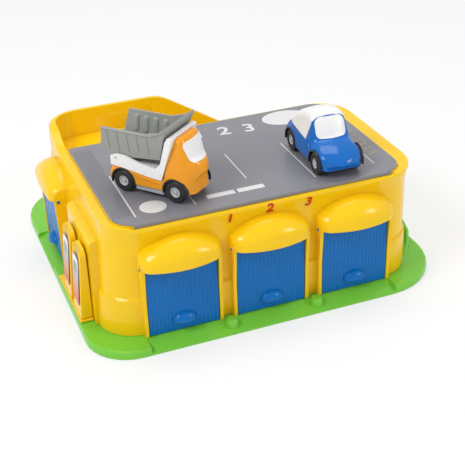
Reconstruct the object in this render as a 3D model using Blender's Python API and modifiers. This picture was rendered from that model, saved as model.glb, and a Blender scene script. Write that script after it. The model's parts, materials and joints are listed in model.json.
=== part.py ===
# Toy garage with a parking deck, four flap doors, a rear ramp and two free-rolling vehicles
import math

import bmesh
import bpy
from mathutils import Matrix, Vector

MM = 0.001
GAP = 0.3 * MM

# Base plate
BASE_LENGTH = 375 * MM
BASE_DEPTH = 364 * MM
PAD_HEIGHT = 9 * MM
BASE_CORNER_FRONT_LEFT = 45 * MM
BASE_CORNER = 67 * MM
BASE_EDGE_ROUND = 3.2 * MM
BASE_SHELL = 2.4 * MM
APRON_DEPTH = 18.4 * MM
APRON_LIP = 2.6 * MM
BOLLARD_RADIUS = 6.2 * MM
BOLLARD_SETBACK = 8.6 * MM
BOLLARD_HEIGHT = 15.5 * MM
KERB_HEIGHT = 14 * MM
KERB_THICKNESS = 3.2 * MM
KERB_START = 82 * MM
KERB_SETBACK = 0.8 * MM
KERB_EDGE = 0.8 * MM
KERB_ROOT = PAD_HEIGHT - 1.2 * MM
BOLLARD_SINK = 1.5 * MM

# Walls
WALL = 2.6 * MM
BODY_MARGIN_LEFT = 17.5 * MM
BODY_MARGIN_RIGHT = 28 * MM
BODY_CORNER = 38 * MM
WALL_RECESS = 4.5 * MM
BODY_DEPTH = 192.5 * MM
WING_LENGTH = 130.5 * MM
WING_DEPTH = 71 * MM
PLINTH_HEIGHT = 39.6 * MM
PLINTH_STEP = 2.2 * MM
LEFT_LEAN = 8 * MM
RIGHT_LEAN = 0.6 * MM
LEAN_AT_STEP = 0.33
LEAN_AT_SWELL = 0.6
SWELL_START = 94 * MM
SWELL_HEIGHT = 19 * MM
RIM_OUT = 1.6 * MM
RIM_SWELL = 5 * MM
RIM_HEIGHT = 116.6 * MM
RIM_WIDTH = 7 * MM
RIGHT_RIM_WIDTH = 14.4 * MM
BACK_RIM_WIDTH = 4.4 * MM
WING_HEIGHT = 130 * MM
RISE_START = 206 * MM
RISE_LENGTH = 50 * MM
ROOM_BELOW_ROOF = 12.6 * MM
LEDGE = 3.6 * MM
LEDGE_THICKNESS = 2.6 * MM

# Deck
DECK_HEIGHT = 119.3 * MM
CARD_THICKNESS = 1 * MM
CARD_CORNER = 23.4 * MM
CARD_FLAP = 3.4 * MM
FLAP_REACH = 9 * MM
CARD_MARGIN = 1.2 * MM
ROOF_THICKNESS = 2.6 * MM

# Rear ramp
LANDING_DROP = 18.5 * MM
LANDING_RUN = 24 * MM
RAMP_FOOT = 308 * MM
RAMP_THICKNESS = 2.6 * MM
GUARD_HEIGHT = 36 * MM
GUARD_THICKNESS = 5.4 * MM
GUARD_END = 9 * MM

# Doors and canopies
DOOR_COUNT = 3
DOOR_PITCH = 90 * MM
FIRST_DOOR = 56 * MM
OPENING_WIDTH = 72.2 * MM
DOOR_SIDE_GAP = 0.7 * MM
DOOR_FOOT_GAP = 0.6 * MM
DOOR_THICKNESS = 2.8 * MM
DOOR_HEAD = 1.2 * MM
DOOR_STOP = 2.5 * MM
DOOR_RIBS = 11
RIB_DEPTH = 0.9 * MM
DOORWAY_HEIGHT = 73.4 * MM
PIVOT_HEIGHT = 74.6 * MM
PIN_RADIUS = 1.7 * MM
PIN_CLEARANCE = 0.4 * MM
CHEEK = 3.2 * MM
CHEEK_FOOT = 1.5 * MM
CANOPY_BOTTOM = 75.5 * MM
CANOPY_BAND = 5 * MM
CANOPY_END_RISE = 13 * MM
CANOPY_MIDDLE_RISE = 27.5 * MM
CANOPY_OUT = 8.4 * MM
CANOPY_BOW = 9.4 * MM
SIDE_CANOPY_OUT = 6.2 * MM
SIDE_CANOPY_BOW = 2.2 * MM
CANOPY_LIP = 0.6 * MM
CANOPY_SHELL = 2.4 * MM
CANOPY_CORNER = 8 * MM
HANDLE_RADIUS = 11.5 * MM
HANDLE_OUT = 7.5 * MM
HANDLE_HEIGHT = 11 * MM
SIDE_DOOR_START = 184.5 * MM

# Pumps beside the left wall
PUMP_WIDTH = 30 * MM
PUMP_DEPTH = 12.5 * MM
PUMP_HEIGHT = 78 * MM
PUMP_FIRST = 58 * MM
PUMP_PITCH = 40 * MM
PUMP_INSET = 8 * MM
PUMP_BASE = 10 * MM
PUMP_CAP = 7 * MM
PANEL_OUT = 2.5 * MM
PANEL_ABOVE = 14 * MM
PLINTH_LENGTH = 92 * MM
PLINTH_THICKNESS = 3 * MM
PUMP_LEAN = 4.8 * MM
LABEL_THICKNESS = 0.6 * MM
LABEL_MARGIN = 3.5 * MM

# Screws under the base
BOSS_RADIUS = 4.2 * MM
BOSS_INSET = 3.2 * MM
BOSS_HEIGHT = 20 * MM
SCREW_RADIUS = 1.35 * MM
SCREW_HEAD = 3.3 * MM
SCREW_REACH = 22 * MM

# Vehicles
TYRE_RADIUS = 11.2 * MM
TYRE_WIDTH = 9 * MM
HUB_RADIUS = 5.2 * MM
AXLE_RADIUS = 1.4 * MM
ARCH_CLEARANCE = 1.5 * MM
TRUCK_TRACK = 17.3 * MM
CAR_TRACK = 18.4 * MM
TRUCK_LOW = 9.5 * MM
TRUCK_BELT = 30 * MM
TRUCK_TUMBLE = 0.12
TRUCK_CROWN = 5 * MM
TRUCK_SPINE = 68 * MM
CAR_LOW = 8.5 * MM
CAR_BELT = 24 * MM
CAR_TUMBLE = 0.2
CAR_CROWN = 9 * MM
CAR_SPINE = 70 * MM
AXLE_CLEARANCE = 0.4 * MM
SPINE_BACK = 11 * MM
SILL_HALF_WIDTH = 20.3 * MM
TRUCK_WHEELBASE = 57 * MM
CAR_WHEELBASE = 60 * MM
CHASSIS_HALF_WIDTH = 7 * MM
CHASSIS_BOTTOM = 5.6 * MM
CHASSIS_TOP = 15 * MM
SKIN = 0.9 * MM
TRUCK_PLACE = (79.7 * MM, 105.0 * MM)
TRUCK_HEADING = -50.2
CAR_PLACE = (266.1 * MM, 107.2 * MM)
CAR_HEADING = -91.9
CRADLE_HALF_WIDTH = 22.6 * MM
BED_HALF_WIDTH = 26 * MM
BED_TOP = 75.5 * MM
BED_TAPER = 0.17
BED_WALL = 1.8 * MM
BED_PIVOT_BACK = -6 * MM
BED_PIVOT_HEIGHT = 34.9 * MM
BED_PIN_RADIUS = 1 * MM
BED_BOSS_RADIUS = 3.4 * MM
BED_FLOOR_CLEAR = 31 * MM

# Places worked out from the sizes
SIDE_OVERHANG = max(SIDE_CANOPY_OUT + SIDE_CANOPY_BOW + CANOPY_LIP - BODY_MARGIN_LEFT + WALL_RECESS, 0)
FRONT_OVERHANG = max(CANOPY_OUT + CANOPY_BOW + CANOPY_LIP - APRON_DEPTH, 0)
BASE_LEFT = (SIDE_OVERHANG - BASE_LENGTH) / 2
BASE_RIGHT = BASE_LEFT + BASE_LENGTH
BASE_FRONT = (FRONT_OVERHANG - BASE_DEPTH) / 2
BASE_BACK = BASE_FRONT + BASE_DEPTH
DOOR_PLANE = BASE_FRONT + APRON_DEPTH
BODY_LEFT = BASE_LEFT + BODY_MARGIN_LEFT
BODY_RIGHT = BASE_RIGHT - BODY_MARGIN_RIGHT
BODY_FRONT = DOOR_PLANE + WALL_RECESS
BODY_BACK = BODY_FRONT + BODY_DEPTH
WING_RIGHT = BODY_LEFT + WING_LENGTH
WING_BACK = BODY_BACK + WING_DEPTH
WALL_FOOT = PAD_HEIGHT + GAP
WALL_TOP = PAD_HEIGHT + WING_HEIGHT
RIM_TOP = PAD_HEIGHT + RIM_HEIGHT
DECK_TOP = PAD_HEIGHT + DECK_HEIGHT
WELL_LEFT = BODY_LEFT + PLINTH_STEP + LEFT_LEAN + RIM_WIDTH
WELL_RIGHT = BODY_RIGHT - PLINTH_STEP - RIGHT_LEAN - RIGHT_RIM_WIDTH
WELL_FRONT = BODY_FRONT + CARD_MARGIN
WELL_BACK = BODY_BACK - PLINTH_STEP - BACK_RIM_WIDTH
ROOF_TOP = DECK_TOP - CARD_THICKNESS - GAP
LANDING = DECK_TOP - LANDING_DROP
LANE_BACK = WING_BACK - PLINTH_STEP - GUARD_THICKNESS
SIDE_DOOR_Y = BASE_FRONT + SIDE_DOOR_START
SIDE_PLANE = BODY_LEFT - WALL_RECESS

for old in list(bpy.data.objects):
    bpy.data.objects.remove(old, do_unlink=True)
parts = bpy.data.collections.new("toy_garage")
cutters = bpy.data.collections.new("cutters")
bpy.context.scene.collection.children.link(parts)
bpy.context.scene.collection.children.link(cutters)


# Materials
def material(name, colour, roughness, metallic=0.0):
    made = bpy.data.materials.new(name)
    made.use_nodes = True
    shader = made.node_tree.nodes["Principled BSDF"]
    shader.inputs["Base Color"].default_value = (*colour, 1)
    shader.inputs["Roughness"].default_value = roughness
    shader.inputs["Metallic"].default_value = metallic
    return made


YELLOW = material("yellow_plastic", (0.90, 0.60, 0.02), 0.35)
GREEN = material("green_plastic", (0.22, 0.52, 0.05), 0.35)
BLUE = material("blue_plastic", (0.01, 0.14, 0.46), 0.35)
CAR_BLUE = material("car_blue_plastic", (0.01, 0.18, 0.60), 0.3)
ORANGE = material("orange_plastic", (0.85, 0.35, 0.03), 0.3)
WHITE = material("white_plastic", (0.80, 0.80, 0.78), 0.3)
GREY = material("grey_plastic", (0.32, 0.33, 0.30), 0.45)
CARD = material("printed_card", (0.22, 0.22, 0.25), 0.5)
LABEL = material("label_film", (0.75, 0.70, 0.68), 0.4)
BLACK = material("tyre_black", (0.02, 0.02, 0.02), 0.6)
STEEL = material("axle_steel", (0.6, 0.6, 0.6), 0.3, 1.0)


# Mesh tools
def add_object(name, mesh, colour, home=parts):
    made = bpy.data.objects.new(name, mesh)
    home.objects.link(made)
    if colour is None:
        made.hide_render = True
        made.display_type = "WIRE"
    else:
        mesh.materials.append(colour)
    return made


def finish_mesh(name, bm):
    bmesh.ops.recalc_face_normals(bm, faces=bm.faces)
    mesh = bpy.data.meshes.new(name)
    bm.to_mesh(mesh)
    bm.free()
    return mesh


def add_rings(bm, rings):
    loops = [[bm.verts.new(point) for point in ring] for ring in rings]
    count = len(loops[0])
    for low, high in zip(loops, loops[1:]):
        for i in range(count):
            j = (i + 1) % count
            bm.faces.new((low[i], low[j], high[j], high[i]))
    bm.faces.new(list(reversed(loops[0])))
    bm.faces.new(loops[-1])


def loft(name, rings, colour, home=parts):
    bm = bmesh.new()
    add_rings(bm, rings)
    return add_object(name, finish_mesh(name, bm), colour, home)


def cutter_loft(name, rings):
    return loft(name, rings, None, cutters)


def prism(name, outline, low, high, colour, axis="Z", home=parts):
    order = {"Z": lambda a, b, h: (a, b, h), "Y": lambda a, b, h: (a, h, b), "X": lambda a, b, h: (h, a, b)}[axis]
    bm = bmesh.new()
    face = bm.faces.new([bm.verts.new(order(a, b, low)) for a, b in outline])
    pushed = bmesh.ops.extrude_face_region(bm, geom=[face])
    moved = [item for item in pushed["geom"] if isinstance(item, bmesh.types.BMVert)]
    bmesh.ops.translate(bm, vec=order(0, 0, high - low), verts=moved)
    return add_object(name, finish_mesh(name, bm), colour, home)


def cutter_prism(name, outline, low, high, axis="Z"):
    return prism(name, outline, low, high, None, axis, cutters)


def box(name, x0, x1, y0, y1, z0, z1, colour, home=parts):
    bm = bmesh.new()
    bmesh.ops.create_cube(bm, size=1)
    bmesh.ops.scale(bm, vec=(x1 - x0, y1 - y0, z1 - z0), verts=bm.verts)
    bmesh.ops.translate(bm, vec=((x0 + x1) / 2, (y0 + y1) / 2, (z0 + z1) / 2), verts=bm.verts)
    return add_object(name, finish_mesh(name, bm), colour, home)


def cylinder(name, radius, centre, length, axis, colour, home=parts, steps=14):
    bm = bmesh.new()
    bmesh.ops.create_cone(bm, cap_ends=True, segments=steps, radius1=radius, radius2=radius, depth=length)
    turn = {"X": Matrix.Rotation(math.pi / 2, 4, "Y"), "Y": Matrix.Rotation(math.pi / 2, 4, "X"), "Z": Matrix()}[axis]
    bmesh.ops.transform(bm, matrix=Matrix.Translation(centre) @ turn, verts=bm.verts)
    return add_object(name, finish_mesh(name, bm), colour, home)


# A profile of radius and height, outer side from the top down, turned about Z
def turned(name, profile, colour, home, steps=24):
    bm = bmesh.new()
    points = [bm.verts.new((radius, 0, height)) for radius, height in profile]
    for low, high in zip(points, points[1:]):
        bm.edges.new((low, high))
    if profile[0][0] > 0:
        bm.edges.new((points[-1], points[0]))
    mesh = bpy.data.meshes.new(name)
    bm.to_mesh(mesh)
    bm.free()
    made = add_object(name, mesh, colour, home)
    screw = made.modifiers.new("turn", "SCREW")
    screw.steps = steps
    screw.render_steps = steps
    screw.use_merge_vertices = True
    screw.merge_threshold = 0.00001
    return made


def boolean(target, other, operation):
    step = target.modifiers.new(operation.lower() + "_" + other.name, "BOOLEAN")
    step.operation = operation
    step.object = other
    return step


def cut(target, *others):
    for other in others:
        boolean(target, other, "DIFFERENCE")


def join(target, *others):
    for other in others:
        boolean(target, other, "UNION")


def bevel(target, width, segments=2, angle=40):
    step = target.modifiers.new("round", "BEVEL")
    step.width = width
    step.segments = segments
    step.limit_method = "ANGLE"
    step.angle_limit = math.radians(angle)
    return step


def arc(cx, cy, radius, start, end, steps):
    angles = [math.radians(start + (end - start) * k / steps) for k in range(steps + 1)]
    return [(cx + radius * math.cos(a), cy + radius * math.sin(a)) for a in angles]


# Rounded rectangle outline, with radii front left, front right, back right, back left
def rounded(x0, x1, y0, y1, radii, steps=6):
    fl, fr, br, bl = radii
    points = arc(x0 + fl, y0 + fl, fl, 180, 270, steps)
    points += arc(x1 - fr, y0 + fr, fr, 270, 360, steps)
    points += arc(x1 - br, y1 - br, br, 0, 90, steps)
    points += arc(x0 + bl, y1 - bl, bl, 90, 180, steps)
    return points


# Garage plan: the main block with the wing behind its left end, its side walls leaning in by a share
def plan(inset, lean=0.0, radius=BODY_CORNER, steps=5):
    x0 = BODY_LEFT + inset + lean * LEFT_LEAN
    x1 = BODY_RIGHT - inset - lean * RIGHT_LEAN
    y0 = BODY_FRONT + inset
    yb = BODY_BACK - inset
    xw = WING_RIGHT - inset
    yw = WING_BACK - inset
    r = max(radius - inset, 1 * MM)
    small = 0.5 * MM
    points = arc(x0 + r, y0 + r, r, 180, 270, steps)
    points += arc(x1 - r, y0 + r, r, 270, 360, steps)
    points += arc(x1 - r, yb - r, r, 0, 90, steps)
    points += arc(xw + small, yb + small, small, 270, 180, 2)
    points += arc(xw - small, yw - small, small, 0, 90, 2)
    points += arc(x0 + r, yw - r, r, 90, 180, steps)
    return points


def at(outline, z):
    return [(x, y, z) for x, y in outline]


# Green base plate with raised corner pads, door aprons, bollards and a guard kerb
base_radii = (BASE_CORNER_FRONT_LEFT, BASE_CORNER, BASE_CORNER, BASE_CORNER)


def base_outline(inset):
    radii = [r - inset for r in base_radii]
    return rounded(
        BASE_LEFT + inset, BASE_RIGHT - inset, BASE_FRONT + inset, BASE_BACK - inset, radii, 8
    )


base_rings = [at(base_outline(0.6 * MM), 0), at(base_outline(0), 0.6 * MM)]
base_rings.append(at(base_outline(0), PAD_HEIGHT - BASE_EDGE_ROUND))
base_rings.append(at(base_outline(0.3 * BASE_EDGE_ROUND), PAD_HEIGHT - 0.3 * BASE_EDGE_ROUND))
base_rings.append(at(base_outline(BASE_EDGE_ROUND), PAD_HEIGHT))
base = loft("base_plate", base_rings, GREEN)

apron_left = BASE_LEFT + FIRST_DOOR - CHEEK
apron_right = BASE_LEFT + FIRST_DOOR + (DOOR_COUNT - 1) * DOOR_PITCH + OPENING_WIDTH + CHEEK
apron_profile = [
    (DOOR_PLANE, PAD_HEIGHT), (DOOR_PLANE, PAD_HEIGHT + 5 * MM),
    (BASE_FRONT - 5 * MM, PAD_HEIGHT + 5 * MM), (BASE_FRONT - 5 * MM, APRON_LIP), (BASE_FRONT, APRON_LIP),
]
cut(base, cutter_prism("front_apron_cut", apron_profile, apron_left, apron_right, "X"))
side_apron = [
    (SIDE_PLANE, PAD_HEIGHT), (SIDE_PLANE, PAD_HEIGHT + 5 * MM),
    (BASE_LEFT - 5 * MM, PAD_HEIGHT + 5 * MM), (BASE_LEFT - 5 * MM, APRON_LIP), (BASE_LEFT, APRON_LIP),
]
side_low = SIDE_DOOR_Y - CHEEK
side_high = SIDE_DOOR_Y + OPENING_WIDTH + CHEEK
cut(base, cutter_prism("side_apron_cut", side_apron, side_low, side_high, "Y"))

# The underside is hollow below the pad, and the plate stands on its edge
hollow_inset = BASE_EDGE_ROUND + BASE_SHELL
hollow_radii = [BASE_CORNER_FRONT_LEFT - hollow_inset] + [BASE_CORNER - hollow_inset] * 3
hollow_outline = rounded(
    SIDE_PLANE + BASE_SHELL, BASE_RIGHT - hollow_inset, DOOR_PLANE + BASE_SHELL, BASE_BACK - hollow_inset,
    hollow_radii, 6
)
cut(base, cutter_prism("base_hollow", hollow_outline, -1 * MM, PAD_HEIGHT - BASE_SHELL))

# Domed bollards between the doors
bollard_profile = [(0, BOLLARD_HEIGHT)]
for k in range(1, 5):
    angle = math.radians(22.5 * k)
    across = BOLLARD_RADIUS * math.sin(angle)
    bollard_profile.append((across, BOLLARD_HEIGHT - BOLLARD_RADIUS * (1 - math.cos(angle))))
bollard_profile += [(BOLLARD_RADIUS, BOLLARD_SINK), (0, BOLLARD_SINK)]
for index in range(DOOR_COUNT - 1):
    bollard = turned("bollard_%d" % (index + 1), bollard_profile, None, cutters, 16)
    bollard_x = BASE_LEFT + FIRST_DOOR + (OPENING_WIDTH + DOOR_PITCH) / 2 + index * DOOR_PITCH
    bollard.location = (bollard_x, DOOR_PLANE - BOLLARD_SETBACK, 0)
    join(base, bollard)

# Guard kerb: a wall from the right front corner round the back that keeps a rolling car on the plate
kerb_x = BASE_RIGHT - KERB_SETBACK
kerb_back = BASE_BACK - KERB_SETBACK
kerb_radius = BASE_CORNER - KERB_SETBACK
kerb_path = [(BODY_RIGHT + 3.5 * MM, BASE_FRONT + KERB_START - 32 * MM)]
kerb_path += [(kerb_x - 12 * MM, BASE_FRONT + KERB_START - 18 * MM), (kerb_x - 2.5 * MM, BASE_FRONT + KERB_START)]
kerb_path += [(kerb_x, BASE_FRONT + KERB_START + 18 * MM)]
kerb_path += arc(kerb_x - kerb_radius, kerb_back - kerb_radius, kerb_radius, 0, 90, 10)
kerb_path += [(kerb_x - kerb_radius - 40 * MM, kerb_back)]
kerb_rings = []
for i, (x, y) in enumerate(kerb_path):
    before = Vector(kerb_path[max(i - 1, 0)])
    after = Vector(kerb_path[min(i + 1, len(kerb_path) - 1)])
    along = (after - before).normalized()
    side = Vector((-along.y, along.x)) * KERB_THICKNESS
    rise = min(i / 3, (len(kerb_path) - 1 - i) / 2, 1)
    top = PAD_HEIGHT + KERB_HEIGHT * max(rise, 0.05)
    section = [(0, KERB_ROOT), (0, top - KERB_EDGE), (0.25, top), (0.75, top), (1, top - KERB_EDGE), (1, KERB_ROOT)]
    kerb_rings.append([(x + side.x * share, y + side.y * share, z) for share, z in section])
join(base, cutter_loft("kerb", kerb_rings))


# Yellow wall shell: two steps, a lean inwards and a head that swells forward over the doors
def wall_section(height, inset, lean, swell):
    outline = []
    for x, y in plan(inset, lean):
        share = min(max(1 - (y - BODY_FRONT) / BODY_CORNER, 0), 1)
        outline.append((x, y - swell * RIM_SWELL * share))
    return at(outline, PAD_HEIGHT + height)


rim_inset = PLINTH_STEP - RIM_OUT
shell_rings = [
    wall_section(GAP, 0, 0, 0),
    wall_section(PLINTH_HEIGHT - 1.2 * MM, 0, LEAN_AT_STEP, 0),
    wall_section(PLINTH_HEIGHT + 0.8 * MM, PLINTH_STEP, LEAN_AT_STEP, 0),
    wall_section(SWELL_START, PLINTH_STEP, LEAN_AT_SWELL, 0),
    wall_section(SWELL_START + 0.6 * SWELL_HEIGHT, PLINTH_STEP, 0.8, 0.5),
    wall_section(SWELL_START + SWELL_HEIGHT, rim_inset, 0.92, 1),
    wall_section(WING_HEIGHT - 3.5 * MM, rim_inset, 1, 1),
    wall_section(WING_HEIGHT - 1 * MM, rim_inset + 0.8 * MM, 1, 1),
    wall_section(WING_HEIGHT, rim_inset + 2.4 * MM, 1, 1),
]
shell = loft("wall_shell", shell_rings, YELLOW)
cavity_top = LANDING - ROOF_THICKNESS - LEDGE_THICKNESS - GAP
cavity_rings = [
    at(plan(WALL), 0),
    at(plan(WALL, LEAN_AT_STEP), PAD_HEIGHT + PLINTH_HEIGHT - 1.2 * MM),
    at(plan(WALL + PLINTH_STEP, LEAN_AT_STEP), PAD_HEIGHT + PLINTH_HEIGHT + 0.8 * MM),
    at(plan(WALL + PLINTH_STEP, LEAN_AT_SWELL), cavity_top),
]
cut(shell, cutter_loft("cavity", cavity_rings))

# The main block's rim is level with the roof, and rises in an easy curve to the wing's high wall
rise_low = BASE_FRONT + RISE_START
clear_front = BODY_FRONT - 30 * MM
clear_top = WALL_TOP + 20 * MM
rim_profile = [(WING_BACK, clear_top), (clear_front, clear_top), (clear_front, RIM_TOP)]
for k in range(9):
    share = k / 8
    rise = (WALL_TOP - RIM_TOP) * (3 - 2 * share) * share ** 2
    rim_profile.append((rise_low + share * RISE_LENGTH, RIM_TOP + rise))
rim_profile[-1] = (rise_low + RISE_LENGTH, WALL_TOP + 1 * MM)
cut(shell, cutter_prism("rim_rise", rim_profile, BASE_LEFT - 20 * MM, WELL_LEFT + 1 * MM, "X"))
cut(shell, box("rim_level", WELL_LEFT, BASE_RIGHT, clear_front, BODY_BACK + 2 * MM, RIM_TOP, clear_top, None, cutters))


# The well that takes the roof plate and the card
def well_outline(inset):
    r = CARD_CORNER - inset
    radii = (r, r, r, 4 * MM)
    return rounded(WELL_LEFT + inset, WELL_RIGHT - inset, WELL_FRONT + inset, WELL_BACK - inset, radii)


roof_ledge = ROOF_TOP - ROOF_THICKNESS - GAP
room_inset = WALL + PLINTH_STEP
room_left = BODY_LEFT + room_inset + LEFT_LEAN
room_right = BODY_RIGHT - room_inset - RIGHT_LEAN
room_outline = rounded(
    room_left, room_right, BODY_FRONT + room_inset, BODY_BACK - room_inset, [BODY_CORNER - room_inset] * 4
)
cut(shell, cutter_prism("upper_room", room_outline, cavity_top - 4 * MM, roof_ledge - LEDGE_THICKNESS))
cut(shell, cutter_prism("roof_ledge_hole", well_outline(LEDGE), roof_ledge - LEDGE_THICKNESS - 2 * MM, roof_ledge + 1 * MM))
cut(shell, cutter_prism("deck_well", well_outline(0), roof_ledge, WALL_TOP + 5 * MM))

# The wing is open above the landing, and open to the deck and to the ramp
wing_ledge = LANDING - ROOF_THICKNESS - GAP
wing_corner = BODY_CORNER - ROOM_BELOW_ROOF
wing_radii = (1 * MM, 1 * MM, 1 * MM, wing_corner)
wing_outline = rounded(WELL_LEFT, WING_RIGHT + 10 * MM, BODY_BACK, LANE_BACK, wing_radii)
cut(shell, cutter_prism("wing_well", wing_outline, wing_ledge, WALL_TOP + 5 * MM))
cut(shell, box(
    "deck_exit", WELL_LEFT, WING_RIGHT - PLINTH_STEP, WELL_BACK - 0.1 * MM, BODY_BACK + 5 * MM, wing_ledge,
    WALL_TOP + 5 * MM, None, cutters
))
wing_hole_outline = rounded(
    WELL_LEFT + LEDGE, WING_RIGHT - WALL - PLINTH_STEP - LEDGE, BODY_BACK + LEDGE, LANE_BACK - LEDGE,
    (1 * MM, 1 * MM, 1 * MM, wing_corner - LEDGE)
)
cut(shell, cutter_prism("wing_ledge_hole", wing_hole_outline, cavity_top - 2 * MM, LANDING))

# Low sill in front of the deck, where the card folds over
notch_left = WELL_LEFT + CARD_CORNER - FLAP_REACH
notch_right = WELL_RIGHT - CARD_CORNER + FLAP_REACH
flap_bottom = DECK_TOP - CARD_FLAP
cut(shell, box(
    "front_notch", notch_left, notch_right, BODY_FRONT - 20 * MM, WELL_FRONT + CARD_CORNER, flap_bottom - GAP,
    WALL_TOP + 5 * MM, None, cutters
))


# How far a canopy stands out at x: round corners at its ends, a bow between them
def canopy_reach(x, half, out, bow):
    into_corner = max(abs(x) - half + CANOPY_CORNER, 0) / CANOPY_CORNER
    return out * math.sqrt(max(1 - into_corner ** 2, 0)) + bow * (1 - (x / half) ** 2)


# Canopy sections from end to end: a thick band with a lip, a crease, then a dome that runs into the wall
def canopy_rings(inset, out, bow, back):
    half = OPENING_WIDTH / 2 + CHEEK
    low = PAD_HEIGHT + CANOPY_BOTTOM
    rings = []
    for k in range(11):
        x = half * math.sin(math.radians(18 * k - 90)) * (half - inset) / half
        reach = canopy_reach(x, half, out, bow) - inset
        rise = CANOPY_END_RISE + (CANOPY_MIDDLE_RISE - CANOPY_END_RISE) * (1 - (x / half) ** 2) - inset
        if inset:
            section = [(back, low - 4 * MM), (-reach, low - 4 * MM), (-reach, low + CANOPY_BAND - 0.6 * inset)]
        else:
            section = [(back, low), (-reach, low), (-reach - CANOPY_LIP, low + 0.25 * CANOPY_BAND)]
            section += [(-reach - CANOPY_LIP, low + 0.7 * CANOPY_BAND), (-reach + 0.4 * MM, low + CANOPY_BAND)]
        crease = CANOPY_BAND - 0.6 * inset
        for angle in (30, 60, 90):
            across = math.cos(math.radians(angle))
            up = math.sin(math.radians(angle))
            section.append((back - (back + reach) * across, low + crease + (rise - crease) * up))
        rings.append([(x, y, z) for y, z in section])
    return rings


# Canopy, cheeks, pin bores and doorway of one door, in a frame whose -Y points outwards
def door_surround(label, frame, wall_back, out, bow):
    canopy = cutter_loft(label + "_canopy", canopy_rings(0, out, bow, wall_back))
    canopy_hollow = cutter_loft(label + "_canopy_hollow", canopy_rings(CANOPY_SHELL, out, bow, wall_back - 2 * MM))
    join(shell, canopy)
    cut(shell, canopy_hollow)
    head = PAD_HEIGHT + CANOPY_BOTTOM
    root = WALL_RECESS + WALL - 0.4 * MM
    cheek_middle = (OPENING_WIDTH + CHEEK) / 2
    cheek_head = canopy_reach(cheek_middle, OPENING_WIDTH / 2 + CHEEK, out, bow) - 1 * MM
    profile = [
        (root, WALL_FOOT), (-CHEEK_FOOT, WALL_FOOT), (-CHEEK_FOOT, PAD_HEIGHT + PLINTH_HEIGHT),
        (-cheek_head, head + 3 * MM), (wall_back - 1 * MM, head + 6 * MM),
        (wall_back - 1 * MM, PAD_HEIGHT + PLINTH_HEIGHT + 4 * MM),
    ]
    surround = [canopy, canopy_hollow]
    for side in (-1, 1):
        inner = side * OPENING_WIDTH / 2
        ends = sorted((inner, inner + side * CHEEK))
        cheek = cutter_prism(label + "_cheek_%d" % (side + 2), profile, ends[0], ends[1], "X")
        join(shell, cheek)
        surround.append(cheek)
    pivot = (0, DOOR_THICKNESS / 2, PAD_HEIGHT + PIVOT_HEIGHT)
    reach = OPENING_WIDTH / 2 + CHEEK + 3 * MM
    bore = cylinder(label + "_pin_bore", PIN_RADIUS + PIN_CLEARANCE, pivot, 2 * reach, "X", None, cutters, 12)
    half = OPENING_WIDTH / 2 - DOOR_STOP
    doorway = box(
        label + "_doorway", -half, half, DOOR_THICKNESS + 0.5 * MM, wall_back + 14 * MM, 0,
        PAD_HEIGHT + DOORWAY_HEIGHT, None, cutters
    )
    cut(shell, bore, doorway)
    for form in surround + [bore, doorway]:
        form.matrix_world = frame


# A flap door: a ribbed panel with stub pins at its head and a half-round pull, with its origin on the pins
def flap_door(name, frame):
    half = OPENING_WIDTH / 2 - DOOR_SIDE_GAP
    foot = DOOR_FOOT_GAP + GAP - PIVOT_HEIGHT
    face = DOOR_THICKNESS / 2
    pitch = 2 * half / DOOR_RIBS
    outline = [(-half, face), (-half, -face)]
    for k in range(DOOR_RIBS):
        x = -half + (k + 0.5) * pitch
        outline += [(x - 0.34 * pitch, -face), (x - 0.2 * pitch, -face - RIB_DEPTH)]
        outline += [(x + 0.2 * pitch, -face - RIB_DEPTH), (x + 0.34 * pitch, -face)]
    outline += [(half, -face), (half, face)]
    door = prism(name, outline, foot, DOOR_HEAD, BLUE)
    reach = OPENING_WIDTH / 2 + CHEEK + 0.6 * MM
    pins = cylinder(name + "_pins", PIN_RADIUS, (0, 0, 0), 2 * reach, "X", None, cutters, 10)
    pull_rings = [[(x, 0.4 * MM - face, foot + HANDLE_HEIGHT + z) for x, z in arc(0, 0, HANDLE_RADIUS, 0, 180, 8)]]
    for share in (0.4, 0.7, 0.9, 0.98):
        bulge = HANDLE_RADIUS * math.sqrt(1 - share ** 2)
        y = -face - share * HANDLE_OUT
        pull_rings.append([(x, y, foot + HANDLE_HEIGHT + z) for x, z in arc(0, 0, bulge, 0, 180, 8)])
    pull = cutter_loft(name + "_pull", pull_rings)
    join(door, pins, pull)
    for piece in (door, pins, pull):
        piece.matrix_world = frame @ Matrix.Translation((0, face, PAD_HEIGHT + PIVOT_HEIGHT))


for index in range(DOOR_COUNT):
    door_x = BASE_LEFT + FIRST_DOOR + OPENING_WIDTH / 2 + index * DOOR_PITCH
    front_frame = Matrix.Translation((door_x, DOOR_PLANE, 0))
    front_wall = WALL_RECESS + PLINTH_STEP + WALL / 2
    door_surround("front_%d" % (index + 1), front_frame, front_wall, CANOPY_OUT, CANOPY_BOW)
    flap_door("front_door_%d" % (index + 1), front_frame)
side_turn = Matrix.Rotation(-math.pi / 2, 4, "Z")
side_frame = Matrix.Translation((SIDE_PLANE, SIDE_DOOR_Y + OPENING_WIDTH / 2, 0)) @ side_turn
side_wall = WALL_RECESS + PLINTH_STEP + LEAN_AT_SWELL * LEFT_LEAN + WALL / 2
door_surround("side", side_frame, side_wall, SIDE_CANOPY_OUT, SIDE_CANOPY_BOW)
flap_door("side_door", side_frame)

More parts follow.
